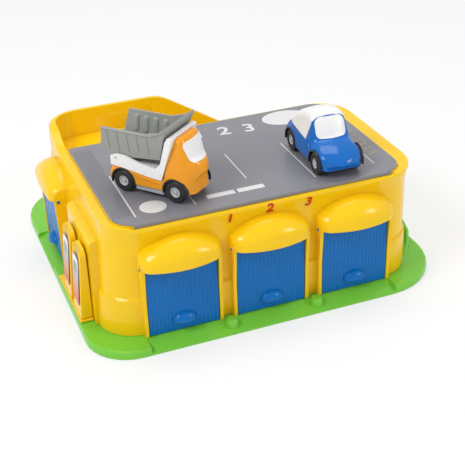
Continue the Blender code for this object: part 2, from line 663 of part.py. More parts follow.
# Raised panel on the left wall that backs the pumps
panel_face = BODY_LEFT - PANEL_OUT
panel_low = BASE_FRONT + PUMP_FIRST
panel_top = PAD_HEIGHT + PUMP_HEIGHT + PANEL_ABOVE
panel_foot = WALL_FOOT + GAP
wall_middle = BODY_LEFT + WALL / 2
panel_profile = [
    (panel_face, panel_foot), (panel_face + 1.2 * MM, panel_top - 4 * MM), (panel_face + 3.4 * MM, panel_top - 1.2 * MM),
    (panel_face + 7 * MM, panel_top), (wall_middle + PLINTH_STEP + LEAN_AT_SWELL * LEFT_LEAN, panel_top),
    (wall_middle + PLINTH_STEP + LEAN_AT_STEP * LEFT_LEAN, PAD_HEIGHT + PLINTH_HEIGHT + 0.8 * MM),
    (wall_middle + LEAN_AT_STEP * LEFT_LEAN, PAD_HEIGHT + PLINTH_HEIGHT - 1.2 * MM), (wall_middle, panel_foot),
]
panel = cutter_prism("pump_panel", panel_profile, panel_low, panel_low + PLINTH_LENGTH - 4 * MM, "Y")
join(shell, panel)

# Screw bosses stand inside the walls
boss_x = BODY_RIGHT - WALL - BOSS_INSET
boss_left = BODY_LEFT + WALL + BOSS_INSET
boss_low = BODY_FRONT + WALL + BOSS_INSET
boss_high = WING_BACK - WALL - BOSS_INSET
between = BASE_LEFT + FIRST_DOOR + (OPENING_WIDTH + DOOR_PITCH) / 2
boss_places = [
    (between, boss_low), (between + DOOR_PITCH, boss_low), (boss_x, 0), (boss_left, BODY_FRONT + BODY_DEPTH / 2),
    (BODY_RIGHT - BODY_DEPTH / 2, BODY_BACK - WALL - BOSS_INSET), (BODY_LEFT + WING_LENGTH / 2, boss_high),
]
for index, (x, y) in enumerate(boss_places):
    middle = WALL_FOOT + GAP + BOSS_HEIGHT / 2
    boss = cylinder("boss_%d" % (index + 1), BOSS_RADIUS, (x, y, middle), BOSS_HEIGHT, "Z", None, cutters, 12)
    hole = cylinder("boss_bore_%d" % (index + 1), SCREW_RADIUS + GAP, (x, y, 0), 2 * SCREW_REACH, "Z", None, cutters, 10)
    join(shell, boss)
    cut(shell, hole)
    cut(base, hole)

# Screws from below: pan heads in the hollow of the plate, shanks up into the bosses
screw_seat = PAD_HEIGHT - BASE_SHELL - GAP
screw_profile = [
    (0.55 * SCREW_HEAD, screw_seat - 1.9 * MM), (0.9 * SCREW_HEAD, screw_seat - 1.4 * MM), (SCREW_HEAD, screw_seat),
    (SCREW_RADIUS, screw_seat), (SCREW_RADIUS, SCREW_REACH - 2 * MM), (0.4 * SCREW_RADIUS, SCREW_REACH - GAP),
]
for index, (x, y) in enumerate(boss_places):
    rings = [at(arc(x, y, radius, 0, 324, 9), z) for radius, z in screw_profile]
    loft("base_screw_%d" % (index + 1), rings, STEEL)

# Two pumps on a common plinth
plinth_low = BASE_FRONT + PUMP_FIRST + PUMP_INSET
plinth_back = panel_face - GAP
plinth = box(
    "pump_plinth", plinth_back - PUMP_DEPTH - 1 * MM, plinth_back, plinth_low, plinth_low + PLINTH_LENGTH,
    PAD_HEIGHT + GAP, PAD_HEIGHT + PLINTH_THICKNESS, YELLOW
)
bevel(plinth, 0.8 * MM)
pump_foot = PAD_HEIGHT + PLINTH_THICKNESS + GAP
pump_head = PAD_HEIGHT + PUMP_HEIGHT
face_low = pump_foot + PUMP_BASE
face_high = pump_head - PUMP_CAP
pump_front = plinth_back - PUMP_DEPTH


def pump_face(z):
    share = (z - face_low) / (face_high - face_low)
    return pump_front + 1 * MM + share * PUMP_LEAN


pump_profile = [
    (plinth_back, pump_foot), (pump_front, pump_foot), (pump_face(face_low), face_low),
    (pump_face(face_high), face_high), (pump_face(face_high) + 3 * MM, pump_head), (plinth_back, pump_head),
]
label_low = face_low + LABEL_MARGIN
label_high = face_high - LABEL_MARGIN
label_profile = [
    (pump_face(label_low) - GAP, label_low), (pump_face(label_high) - GAP, label_high),
    (pump_face(label_high) - GAP - LABEL_THICKNESS, label_high),
    (pump_face(label_low) - GAP - LABEL_THICKNESS, label_low),
]
for index in range(2):
    low = plinth_low + 2 * MM + index * PUMP_PITCH
    pump = prism("pump_%d" % (index + 1), pump_profile, low, low + PUMP_WIDTH, YELLOW, "Y")
    bevel(pump, 1.2 * MM)
    label_name = "pump_label_%d" % (index + 1)
    prism(label_name, label_profile, low + LABEL_MARGIN, low + PUMP_WIDTH - LABEL_MARGIN, LABEL, "Y")

# Roof plate on its ledge, with the printed card over it
prism("roof_plate", well_outline(GAP), roof_ledge + GAP, ROOF_TOP, YELLOW)
card_outline = rounded(
    WELL_LEFT + CARD_MARGIN, WELL_RIGHT - CARD_MARGIN, BODY_FRONT + CARD_THICKNESS, WELL_BACK - GAP,
    (CARD_CORNER + GAP, CARD_CORNER + GAP, CARD_CORNER - CARD_MARGIN, 4 * MM)
)
card = prism("deck_card", card_outline, DECK_TOP - CARD_THICKNESS, DECK_TOP, CARD)
join(card, box(
    "card_flap", notch_left + 3 * MM, notch_right - 3 * MM, BODY_FRONT, BODY_FRONT + 1.2 * CARD_THICKNESS,
    flap_bottom, DECK_TOP, None, cutters
))

# Rear ramp: a landing behind the deck, then a slope down to the plate, with a guard wall outside
landing_front = WELL_BACK + GAP
landing_profile = [
    (landing_front, DECK_TOP - 1.2 * MM), (landing_front + LANDING_RUN, LANDING), (LANE_BACK - GAP, LANDING),
    (LANE_BACK - GAP, LANDING - ROOF_THICKNESS), (landing_front, LANDING - ROOF_THICKNESS),
]
ramp = prism("rear_ramp", landing_profile, WELL_LEFT + GAP, WING_RIGHT - 3 * MM, YELLOW, "X")
keep_radii = (1 * MM, 1 * MM, 1 * MM, wing_corner - GAP)
keep_outline = rounded(WELL_LEFT + GAP, BASE_RIGHT, BODY_FRONT, LANE_BACK - GAP, keep_radii)
keep = cutter_prism("landing_corner", keep_outline, 0, WALL_TOP)
boolean(ramp, keep, "INTERSECT")
ramp_start = WING_RIGHT + GAP
ramp_end = BASE_LEFT + RAMP_FOOT
ramp_low = PAD_HEIGHT + GAP
fall = (LANDING - ramp_low) / (ramp_end - ramp_start)
lane_front = BODY_BACK + GAP
guard_back = WING_BACK - PLINTH_STEP
slab_profile = [
    (ramp_start, LANDING), (ramp_end, ramp_low), (ramp_end - 5 * MM, ramp_low), (ramp_start, LANDING - RAMP_THICKNESS * 1.4),
]
bridge = box(
    "ramp_bridge", WING_RIGHT - 4 * MM, ramp_start + 1.5 * MM, lane_front, LANE_BACK - GAP, LANDING - ROOF_THICKNESS,
    LANDING, None, cutters
)
join(ramp, bridge)
join(ramp, cutter_prism("ramp_slab", slab_profile, lane_front, guard_back - 1 * MM, "Y"))
skirt_profile = [(ramp_start, LANDING - 1 * MM), (ramp_end - 6 * MM, ramp_low), (ramp_start, ramp_low)]
join(ramp, cutter_prism("ramp_skirt", skirt_profile, lane_front, lane_front + RAMP_THICKNESS, "Y"))
guard_bend = ramp_start + (LANDING + GUARD_HEIGHT - WALL_TOP) / fall
guard_ease = guard_bend - ramp_start
guard_profile = [(ramp_start, ramp_low)]
for k in range(6):
    share = k / 5
    drop = fall * guard_ease * share ** 2
    guard_profile.append((ramp_start + 2 * guard_ease * share, WALL_TOP - drop))
guard_low = ramp_low + GUARD_HEIGHT
guard_profile += [
    (ramp_end - GUARD_END, guard_low + fall * GUARD_END), (ramp_end - 0.3 * GUARD_END, guard_low - 0.2 * GUARD_HEIGHT),
    (ramp_end, ramp_low + 0.4 * GUARD_HEIGHT), (ramp_end, ramp_low),
]
guard = cutter_prism("ramp_guard", guard_profile, guard_back - GUARD_THICKNESS + GAP, guard_back, "Y")
bevel(guard, 1 * MM)
join(ramp, guard)


# One ring of a vehicle body: chamfered foot, upright side to the belt, then a lean in to a rounded roof
def body_ring(station, low, belt, tumble, crown, grow):
    s, high, half = (value * MM for value in station)
    top_half = half - max(high - belt, 0) * tumble + grow
    half += grow
    high += grow
    low -= grow
    r = min(crown, (high - low) / 3)
    waist = min(belt, high - r - 0.4 * MM)
    side = [
        (half - 1.5 * MM, low), (half, low + 1.5 * MM), (half, waist), (top_half, high - r),
        (top_half - 0.3 * r, high - 0.3 * r), (top_half - r, high),
    ]
    ring = side + [(-t, z) for t, z in reversed(side)]
    return [(s, t, z) for t, z in ring]


def body_rings(stations, low, belt, tumble, crown, grow):
    rings = [body_ring(station, low, belt, tumble, crown, grow) for station in stations]
    rings[0] = [(s - grow, t, z) for s, t, z in rings[0]]
    rings[-1] = [(s + grow, t, z) for s, t, z in rings[-1]]
    return rings


def skin(name, rings_of, outline, t_low, t_high, colour):
    panel_form = loft(name, rings_of(GAP + SKIN), colour)
    region = cutter_prism(name + "_region", outline, t_low, t_high, "Y")
    inner = cutter_loft(name + "_inner", rings_of(GAP))
    boolean(panel_form, region, "INTERSECT")
    cut(panel_form, inner)
    return [panel_form, region, inner]


# Tyre and hub profiles, turned about the axle: radius, then distance outwards from the tyre's middle
TYRE_PROFILE = [
    (TYRE_RADIUS - 1 * MM, TYRE_WIDTH / 2), (TYRE_RADIUS, TYRE_WIDTH / 2 - 1.3 * MM),
    (TYRE_RADIUS, 1.3 * MM - TYRE_WIDTH / 2), (TYRE_RADIUS - 1 * MM, -TYRE_WIDTH / 2),
    (HUB_RADIUS + GAP, -TYRE_WIDTH / 2), (HUB_RADIUS + GAP, TYRE_WIDTH / 2),
]
HUB_FACE = TYRE_WIDTH / 2 - 0.6 * MM
HUB_BORE = HUB_FACE - 1.7 * MM
HUB_PROFILE = [
    (0, HUB_FACE), (0.3 * HUB_RADIUS, HUB_FACE), (0.45 * HUB_RADIUS, HUB_FACE - 1.2 * MM),
    (0.75 * HUB_RADIUS, HUB_FACE - 1.2 * MM), (0.85 * HUB_RADIUS, HUB_FACE), (HUB_RADIUS, HUB_FACE),
    (HUB_RADIUS, 0.9 * MM - TYRE_WIDTH / 2), (AXLE_RADIUS + GAP, 0.9 * MM - TYRE_WIDTH / 2),
    (AXLE_RADIUS + GAP, HUB_BORE), (0, HUB_BORE),
]


# Chassis, wheels and axles of one vehicle; the body gets the slot, arches and bores that clear them
def running_gear(label, holder, body, wheelbase, track, low, spine_end):
    spine = box(
        label + "_chassis", -SPINE_BACK, spine_end, -CHASSIS_HALF_WIDTH, CHASSIS_HALF_WIDTH, CHASSIS_BOTTOM,
        CHASSIS_TOP, BLACK
    )
    reach = TYRE_RADIUS + ARCH_CLEARANCE
    sill = box(
        label + "_sill", reach + 0.6 * MM, wheelbase - reach - 0.6 * MM, -SILL_HALF_WIDTH, SILL_HALF_WIDTH,
        CHASSIS_BOTTOM, low - GAP, None, cutters
    )
    join(spine, sill)
    slot = box(
        label + "_slot", -SPINE_BACK - GAP, spine_end + GAP, -CHASSIS_HALF_WIDTH - GAP, CHASSIS_HALF_WIDTH + GAP,
        0, CHASSIS_TOP + GAP, None, cutters
    )
    cut(body, slot)
    pieces = [spine, sill, slot]
    for end, s in (("rear", 0), ("front", wheelbase)):
        centre = (s, 0, TYRE_RADIUS)
        axle = cylinder("%s_%s_axle" % (label, end), AXLE_RADIUS, (0, 0, 0), 2 * (track + HUB_BORE - GAP), "Y", STEEL)
        axle.location = centre
        bore = cylinder("%s_%s_bore" % (label, end), AXLE_RADIUS + AXLE_CLEARANCE, centre, 60 * MM, "Y", None, cutters, 12)
        cut(spine, bore)
        cut(body, bore)
        pieces += [axle, bore]
        for side, sign in (("right", -1), ("left", 1)):
            arch_middle = sign * (track - TYRE_WIDTH / 2 - 1 * MM + 15 * MM)
            arch = cylinder(
                "%s_%s_%s_arch" % (label, end, side), reach, (s, arch_middle, TYRE_RADIUS), 30 * MM, "Y", None,
                cutters, 18
            )
            cut(body, arch)
            tyre = turned("%s_%s_%s_tyre" % (label, end, side), TYRE_PROFILE, BLACK, parts, 16)
            hub = turned("%s_%s_%s_hub" % (label, end, side), HUB_PROFILE, WHITE, parts, 10)
            for wheel in (tyre, hub):
                wheel.location = (s, sign * track, TYRE_RADIUS)
                wheel.rotation_euler = (-sign * math.pi / 2, 0, 0)
            pieces += [arch, tyre, hub]
    for piece in pieces:
        piece.parent = holder


def vehicle_holder(name, place, heading):
    holder = bpy.data.objects.new(name, None)
    parts.objects.link(holder)
    holder.location = (BASE_LEFT + place[0], BASE_FRONT + place[1], DECK_TOP + GAP)
    holder.rotation_euler = (0, 0, math.radians(heading))
    return holder


# Tipping truck: stations are distance from the rear axle, roof height and half width in millimetres
truck_holder = vehicle_holder("truck_origin", TRUCK_PLACE, TRUCK_HEADING)
TRUCK_STATIONS = [
    (-15.5, 17.5, 19.5), (-14.5, 22, 21), (-12, 25, 21.5), (-8, 27.3, 21.5), (0, 28.5, 21.5), (8, 27.5, 21.5),
    (16, 25.5, 21.5), (30, 23.5, 21.5), (43, 22.5, 21.5), (46.5, 29.5, 21.5), (50, 45, 21.5), (54, 60, 21.5),
    (57.5, 62.5, 21.5), (62, 64, 21.5), (65.5, 60.5, 21.5), (70, 50.5, 21.2), (73, 43.5, 20.3), (76, 40, 18.4),
    (78.6, 36, 15.2), (80.2, 30, 11.6),
]


def truck_rings(grow):
    return body_rings(TRUCK_STATIONS, TRUCK_LOW, TRUCK_BELT, TRUCK_TUMBLE, TRUCK_CROWN, grow)


truck_body = loft("truck_body", truck_rings(0), ORANGE)
screen_outline = [(s * MM, z * MM) for s, z in ((60, 44.5), (60, 59.5), (90, 59.5), (90, 44.5))]
truck_pieces = [truck_body]
truck_pieces += skin("truck_windscreen", truck_rings, screen_outline, -15.5 * MM, 15.5 * MM, WHITE)
running_gear("truck", truck_holder, truck_body, TRUCK_WHEELBASE, TRUCK_TRACK, TRUCK_LOW, TRUCK_SPINE)

# White cradle that straddles the body and carries the bed
cradle_outline = [
    (-12, 27), (0, 26), (16, 24), (30, 22), (43.5, 21), (47, 31), (56, 58), (57, 64.5), (53, 65.5), (50, 61),
    (43.5, 38), (38, 32), (20, 34), (5, 38.5), (-5, 39), (-12, 36),
]
cradle_outline = [(s * MM, z * MM) for s, z in cradle_outline]
cradle = prism("truck_cradle", cradle_outline, -CRADLE_HALF_WIDTH, CRADLE_HALF_WIDTH, WHITE, "Y")
cradle_inner = cutter_loft("cradle_inner", truck_rings(GAP))
bed_room = box(
    "bed_room", -30 * MM, 42.6 * MM, 0.5 * MM - CRADLE_HALF_WIDTH + BED_WALL, CRADLE_HALF_WIDTH - BED_WALL - 0.5 * MM,
    BED_FLOOR_CLEAR, 80 * MM, None, cutters
)
pin_bore = cylinder(
    "bed_pin_bore", BED_PIN_RADIUS + GAP, (BED_PIVOT_BACK, 0, BED_PIVOT_HEIGHT), 60 * MM, "Y", None, cutters, 16
)
cut(cradle, cradle_inner, bed_room, pin_bore)
bed_pin = cylinder("truck_bed_pin", BED_PIN_RADIUS, (0, 0, 0), 2 * CRADLE_HALF_WIDTH, "Y", STEEL, parts, 16)
bed_pin.location = (BED_PIVOT_BACK, 0, BED_PIVOT_HEIGHT)
truck_pieces += [cradle, cradle_inner, bed_room, pin_bore, bed_pin]


# Tipping bed with its origin on the pin: a trough, wider at the rim, open above and behind
def bed_rings(outline, wall):
    rings = []
    for sign in (-1, 1):
        ring = []
        for s, z in outline:
            half = BED_HALF_WIDTH - wall - (BED_TOP - z * MM) * BED_TAPER
            ring.append((s * MM - BED_PIVOT_BACK, sign * half, z * MM - BED_PIVOT_HEIGHT))
        rings.append(ring)
    return rings


BED_OUTLINE = [
    (-23.4, 43), (0, 35.6), (9, 36.6), (42, 40.5), (49.4, 64), (53.5, 73), (52.3, 75.5), (45, 70), (29, 65.5), (-18, 65),
]
BED_INSIDE = [
    (-30, 47.2), (-23.4, 44.9), (0, 37.5), (9, 38.5), (40.4, 42.3), (47.4, 64.5), (51, 73), (51, 90), (-30, 90),
]
bed = loft("truck_bed", bed_rings(BED_OUTLINE, 0), GREY)
bed_boss = cylinder("bed_boss", BED_BOSS_RADIUS, (0, 0, 0), 2 * (CRADLE_HALF_WIDTH - BED_WALL - 0.8 * MM), "Y", None, cutters, 16)
bed_inside = cutter_loft("bed_inside", bed_rings(BED_INSIDE, BED_WALL))
boss_bore = cylinder("bed_boss_bore", BED_PIN_RADIUS + GAP, (0, 0, 0), 60 * MM, "Y", None, cutters, 16)
join(bed, bed_boss)
cut(bed, bed_inside, boss_bore)
for piece in (bed, bed_boss, bed_inside, boss_bore):
    piece.location = (BED_PIVOT_BACK, 0, BED_PIVOT_HEIGHT)
    truck_pieces.append(piece)
for piece in truck_pieces:
    piece.parent = truck_holder

# Small car with a windscreen and two side windows
car_holder = vehicle_holder("car_origin", CAR_PLACE, CAR_HEADING)
CAR_STATIONS = [
    (-16, 17, 18), (-15.2, 23, 20.5), (-12.5, 28.5, 22.3), (-7, 35, 23.2), (0, 41, 23.2), (9, 47, 23.2),
    (18, 51, 23.2), (27, 53.4, 23.2), (34, 53.8, 23.2), (39, 52, 23.2), (44, 46, 23.2), (48.5, 37.5, 23.2),
    (52.5, 30.5, 23.2), (60, 28.5, 23.2), (68, 26, 23), (75, 22.5, 22), (80, 18, 19.6), (82.5, 14, 16),
]


def car_rings(grow):
    return body_rings(CAR_STATIONS, CAR_LOW, CAR_BELT, CAR_TUMBLE, CAR_CROWN, grow)


car_body = loft("car_body", car_rings(0), CAR_BLUE)
screen_outline = [(s * MM, z * MM) for s, z in ((30, 31.5), (30, 50), (70, 50), (70, 31.5))]
car_pieces = [car_body] + skin("car_windscreen", car_rings, screen_outline, -13.5 * MM, 13.5 * MM, WHITE)
window_outline = [(s * MM, z * MM) for s, z in ((20, 36), (33, 28.5), (46, 32.5), (42.5, 42), (36, 46.5), (27, 43))]
car_pieces += skin("car_window_right", car_rings, window_outline, -30 * MM, 0, WHITE)
car_pieces += skin("car_window_left", car_rings, window_outline, 0, 30 * MM, WHITE)
running_gear("car", car_holder, car_body, CAR_WHEELBASE, CAR_TRACK, CAR_LOW, CAR_SPINE)
for piece in car_pieces:
    piece.parent = car_holder

# Round pieces are shaded smooth, with their edges kept
for piece in parts.objects:
    if piece.type == "MESH":
        piece.data.shade_smooth()
        piece.data.set_sharp_from_angle(angle=math.radians(32))
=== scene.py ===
# Looks of a toy parking garage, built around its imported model
import json
import math

import bmesh
import bpy
from mathutils import Matrix, Vector
from mathutils.bvhtree import BVHTree


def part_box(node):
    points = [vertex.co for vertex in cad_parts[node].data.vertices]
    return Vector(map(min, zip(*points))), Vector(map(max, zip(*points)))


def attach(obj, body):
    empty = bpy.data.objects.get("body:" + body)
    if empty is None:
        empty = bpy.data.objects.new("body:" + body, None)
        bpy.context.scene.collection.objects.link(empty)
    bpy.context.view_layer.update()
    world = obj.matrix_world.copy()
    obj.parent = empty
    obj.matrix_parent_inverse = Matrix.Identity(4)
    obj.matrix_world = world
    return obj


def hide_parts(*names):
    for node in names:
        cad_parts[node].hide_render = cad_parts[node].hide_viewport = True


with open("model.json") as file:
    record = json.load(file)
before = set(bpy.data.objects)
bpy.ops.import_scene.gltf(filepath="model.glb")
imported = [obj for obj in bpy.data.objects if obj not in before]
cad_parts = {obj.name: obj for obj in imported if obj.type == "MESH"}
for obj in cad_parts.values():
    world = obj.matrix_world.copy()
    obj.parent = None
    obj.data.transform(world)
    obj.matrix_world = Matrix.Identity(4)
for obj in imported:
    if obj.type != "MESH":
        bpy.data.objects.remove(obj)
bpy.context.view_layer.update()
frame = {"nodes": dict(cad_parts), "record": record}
nodes = frame["nodes"]
MM = 0.001


# The base plate is one green polypropylene moulding with raised corners, sloped
# aprons, two bollards and a kerb. Its tone drifts a little where the plastic
# flowed, and its top carries the satin of the steel tool.
def moulded(name, colour, deeper, gloss=0.2, shine=0.4):
    made = bpy.data.materials.new(name)
    made.use_nodes = True
    tree = made.node_tree
    shader = tree.nodes["Principled BSDF"]
    shader.inputs["Specular IOR Level"].default_value = shine
    place = tree.nodes.new("ShaderNodeTexCoord")

    def mottle(scale, detail):
        noise = tree.nodes.new("ShaderNodeTexNoise")
        noise.inputs["Scale"].default_value = scale
        noise.inputs["Detail"].default_value = detail
        tree.links.new(place.outputs["Object"], noise.inputs["Vector"])
        return noise.outputs["Fac"]

    tone = tree.nodes.new("ShaderNodeMix")
    tone.data_type = "RGBA"
    tone.inputs[6].default_value = (*deeper, 1)
    tone.inputs[7].default_value = (*colour, 1)
    tree.links.new(mottle(9, 2), tone.inputs[0])
    tree.links.new(tone.outputs[2], shader.inputs["Base Color"])
    rub = tree.nodes.new("ShaderNodeMapRange")
    rub.inputs["From Min"].default_value = 0.3
    rub.inputs["From Max"].default_value = 0.7
    rub.inputs["To Min"].default_value = gloss - 0.02
    rub.inputs["To Max"].default_value = gloss + 0.04
    tree.links.new(mottle(60, 3), rub.inputs["Value"])
    tree.links.new(rub.outputs["Result"], shader.inputs["Roughness"])
    grain = tree.nodes.new("ShaderNodeBump")
    grain.inputs["Strength"].default_value = 0.01
    grain.inputs["Distance"].default_value = 0.1 * MM
    tree.links.new(mottle(900, 2), grain.inputs["Height"])
    tree.links.new(grain.outputs["Normal"], shader.inputs["Normal"])
    return made


# A new piece takes its body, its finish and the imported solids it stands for
def fit_piece(name, mesh, material, body, stands_for=(), crisp=35):
    mesh.name = name
    mesh.materials.clear()
    mesh.materials.append(material)
    piece = bpy.data.objects.new(name, mesh)
    bpy.context.scene.collection.objects.link(piece)
    mesh.shade_smooth()
    mesh.set_sharp_from_angle(angle=math.radians(crisp))
    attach(piece, body)
    if stands_for:
        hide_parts(*stands_for)
    return piece


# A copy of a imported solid, cleaned to its true faces
def true_faces(node):
    mesh = nodes[node].data.copy()
    form = bmesh.new()
    form.from_mesh(mesh)
    bmesh.ops.remove_doubles(form, verts=form.verts, dist=0.01 * MM)
    bmesh.ops.dissolve_limit(
        form, angle_limit=math.radians(0.6), verts=form.verts, edges=form.edges
    )
    form.to_mesh(mesh)
    form.free()
    return mesh


# Edges rounded as the tool leaves them
def round_edges(piece, width, angle=30, segments=3):
    edge = piece.modifiers.new("eased_edges", "BEVEL")
    edge.width = width
    edge.segments = segments
    edge.limit_method = "ANGLE"
    edge.angle_limit = math.radians(angle)
    edge.harden_normals = True
    even = piece.modifiers.new("even_shade", "WEIGHTED_NORMAL")
    even.keep_sharp = True
    return edge


def eased(node, name, body, material, width):
    piece = fit_piece(name, true_faces(node), material, body, (node,), 180)
    round_edges(piece, width)
    return piece


green = moulded("green_polypropylene", (0.19, 0.585, 0.045), (0.165, 0.54, 0.038), 0.24)
base = eased("base_plate", "base_moulding", "garage", green, 0.9 * MM)
BOLLARD_TOP = 13.4 * MM
BOLLARD_ROW = -165 * MM
for corner in base.data.vertices:
    if corner.co.z > BOLLARD_TOP and corner.co.y < BOLLARD_ROW:
        corner.co.z = BOLLARD_TOP


# Six zinc-plated pan-head screws hold the walls to the plate from below. They
# are turned steel parts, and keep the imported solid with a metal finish.
def finish_node(name, material):
    for entry in nodes[name].material_slots:
        entry.material = material


steel = moulded("zinc_plated_steel", (0.62, 0.62, 0.60), (0.50, 0.50, 0.48), 0.35)
steel.node_tree.nodes["Principled BSDF"].inputs["Metallic"].default_value = 1.0
for number in range(1, 7):
    finish_node("base_screw_%d" % number, steel)

# The walls, the roof plate and the rear ramp are yellow ABS mouldings, polished,
# so the lamps show as soft streaks on every rounding. Behind the building the
# rims of the wall and of the ramp's guard meet end to end and run on as one.
yellow = moulded("yellow_abs", (0.90, 0.575, 0.006), (0.87, 0.54, 0.004), 0.16, 0.32)
RIM_JOINT = -39.3 * MM
RIM_SLIT = 0.06 * MM
RIM_END = 3.5 * MM
RIM_INNER = 96.7 * MM
WALL_FOOT_BAND = 48.5 * MM


def joined_moulding(node, name, width, angle, segments, lowest):
    mesh = true_faces(node)
    for corner in mesh.vertices:
        past = corner.co.x - RIM_JOINT
        if abs(past) < RIM_END and corner.co.y > RIM_INNER and corner.co.z > lowest:
            corner.co.x = RIM_JOINT + math.copysign(RIM_SLIT, past)
    piece = fit_piece(name, mesh, yellow, "garage", (node,), 180)
    edge = round_edges(piece, width, angle, segments)
    edge.limit_method = "WEIGHT"
    form = bmesh.new()
    form.from_mesh(mesh)
    weight = form.edges.layers.float.new("bevel_weight_edge")
    for line in form.edges:
        at_joint = all(abs(corner.co.x - RIM_JOINT) < 0.6 * MM for corner in line.verts)
        flat = line.calc_face_angle(0) < math.radians(angle)
        line[weight] = 0.0 if at_joint or flat else 1.0
    form.to_mesh(mesh)
    form.free()


joined_moulding("wall_shell", "wall_moulding", 0.9 * MM, 24, 4, WALL_FOOT_BAND)
eased("roof_plate", "roof_moulding", "garage", yellow, 0.3 * MM)
joined_moulding("rear_ramp", "ramp_moulding", 0.6 * MM, 30, 3, 0.0)


# Two fuel pumps stand on a yellow plinth: a leaning front, a rounded head and a
# film label in a thin dark frame, white above, lilac grey in the middle and
# orange red below.
def rounded_outline(x0, x1, y0, y1, radii, steps=6):
    corners = (
        (x0, y0, 1, 1, 180), (x1, y0, -1, 1, 270), (x1, y1, -1, -1, 0), (x0, y1, 1, -1, 90)
    )
    outline = []
    for (x, y, sx, sy, start), radius in zip(corners, radii):
        for k in range(steps + 1):
            turn = math.radians(start + 90 * k / steps)
            outline.append((
                x + sx * radius + radius * math.cos(turn),
                y + sy * radius + radius * math.sin(turn),
            ))
    return outline


# A mesh from a filled form, with its seams closed and its faces pointing out
def closed_mesh(form, name):
    bmesh.ops.remove_doubles(form, verts=form.verts, dist=0.002 * MM)
    bmesh.ops.recalc_face_normals(form, faces=form.faces)
    mesh = bpy.data.meshes.new(name)
    form.to_mesh(mesh)
    form.free()
    return mesh


# A closed skin over a row of rings of equal count
def skinned(rings):
    form = bmesh.new()
    rows = [[form.verts.new(point) for point in ring] for ring in rings]
    for one, two in zip(rows, rows[1:]):
        for k in range(len(one)):
            nxt = (k + 1) % len(one)
            form.faces.new((one[k], one[nxt], two[nxt], two[k]))
    form.faces.new(rows[0][::-1])
    form.faces.new(rows[-1])
    return closed_mesh(form, "skin")


def merged(meshes):
    form = bmesh.new()
    for mesh in meshes:
        form.from_mesh(mesh)
    whole = bpy.data.meshes.new("merged")
    form.to_mesh(whole)
    form.free()
    return whole


eased("pump_plinth", "plinth_moulding", "garage", yellow, 0.4 * MM)
label = moulded("label_film", (0.80, 0.80, 0.82), (0.76, 0.76, 0.79), 0.3)
LABEL_FOOT = 25.5 * MM
LABEL_HEAD = 76.8 * MM
LABEL_SHADES = (
    (0.0, (0.55, 0.06, 0.02)), (0.22, (0.72, 0.17, 0.05)), (0.42, (0.62, 0.36, 0.26)),
    (0.56, (0.44, 0.40, 0.42)), (0.72, (0.55, 0.55, 0.57)), (0.86, (0.80, 0.80, 0.80)),
    (1.0, (0.84, 0.84, 0.84)),
)
label_tree = label.node_tree
label_place = label_tree.nodes.new("ShaderNodeTexCoord")
label_split = label_tree.nodes.new("ShaderNodeSeparateXYZ")
label_tree.links.new(label_place.outputs["Object"], label_split.inputs["Vector"])
label_rise = label_tree.nodes.new("ShaderNodeMapRange")
label_rise.inputs["From Min"].default_value = LABEL_FOOT
label_rise.inputs["From Max"].default_value = LABEL_HEAD
label_tree.links.new(label_split.outputs["Z"], label_rise.inputs["Value"])
label_print = label_tree.nodes.new("ShaderNodeValToRGB")
label_tree.links.new(label_rise.outputs["Result"], label_print.inputs["Fac"])
ends = label_print.color_ramp.elements
for end, (position, shade) in ((ends[0], LABEL_SHADES[0]), (ends[1], LABEL_SHADES[-1])):
    end.position = position
    end.color = (*shade, 1)
for position, shade in LABEL_SHADES[1:-1]:
    label_print.color_ramp.elements.new(position).color = (*shade, 1)
label_tree.links.new(
    label_print.outputs["Color"], label_tree.nodes["Principled BSDF"].inputs["Base Color"]
)
frame_ink = moulded("label_frame_ink", (0.10, 0.10, 0.11), (0.08, 0.08, 0.09), 0.35)
screen_grey = moulded("label_screen_grey", (0.30, 0.31, 0.33), (0.26, 0.27, 0.29), 0.3)
PUMP_RADII = (1.2 * MM, 1.2 * MM, 9 * MM, 9 * MM)
FILM_RADII = (1.5 * MM, 1.5 * MM, 6 * MM, 6 * MM)
SCREEN_HALF = 6 * MM
for number in (1, 2):
    low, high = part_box("pump_%d" % number)
    film_low, film_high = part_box("pump_label_%d" % number)
    slope = (film_high[0] - film_low[0] - 0.6 * MM) / (film_high[2] - film_low[2])

    def front_x(z, lift=0.0):
        return film_low[0] + 0.9 * MM - lift + (z - film_low[2]) * slope

    def film(outline, lift, thickness):
        return skinned([
            [(front_x(z, lift + more), y, z) for y, z in outline] for more in (0, thickness)
        ])

    head = rounded_outline(low[1], high[1], low[2], high[2], PUMP_RADII, 8)
    face = []
    for y, z in head:
        set_back = 3 * MM if z > high[2] - 1 * MM else 0
        face.append((max(front_x(z), low[0] + 0.2 * MM) + set_back, y, z))
    pump = fit_piece(
        "pump_moulding_%d" % number, skinned([[(high[0], y, z) for y, z in head], face]),
        yellow, "garage", ("pump_%d" % number,), 180
    )
    round_edges(pump, 1.6 * MM, 30, 4)
    rim, sheet = (
        rounded_outline(
            film_low[1] + inset, film_high[1] - inset, film_low[2] + inset, film_high[2] - inset,
            FILM_RADII
        ) for inset in (0.0, 0.8 * MM)
    )
    fit_piece(
        "pump_label_frame_%d" % number, film(rim, 0.25 * MM, 0.3 * MM), frame_ink,
        "garage"
    )
    fit_piece(
        "pump_label_sheet_%d" % number, film(sheet, 0.5 * MM, 0.3 * MM), label,
        "garage", ("pump_label_%d" % number,)
    )
    middle = (film_low[1] + film_high[1]) / 2
    window = rounded_outline(
        middle - SCREEN_HALF, middle + SCREEN_HALF,
        film_high[2] - 18 * MM, film_high[2] - 7 * MM, (1 * MM,) * 4, 3
    )
    fit_piece(
        "pump_label_screen_%d" % number, film(window, 0.75 * MM, 0.11 * MM), screen_grey,
        "garage"
    )

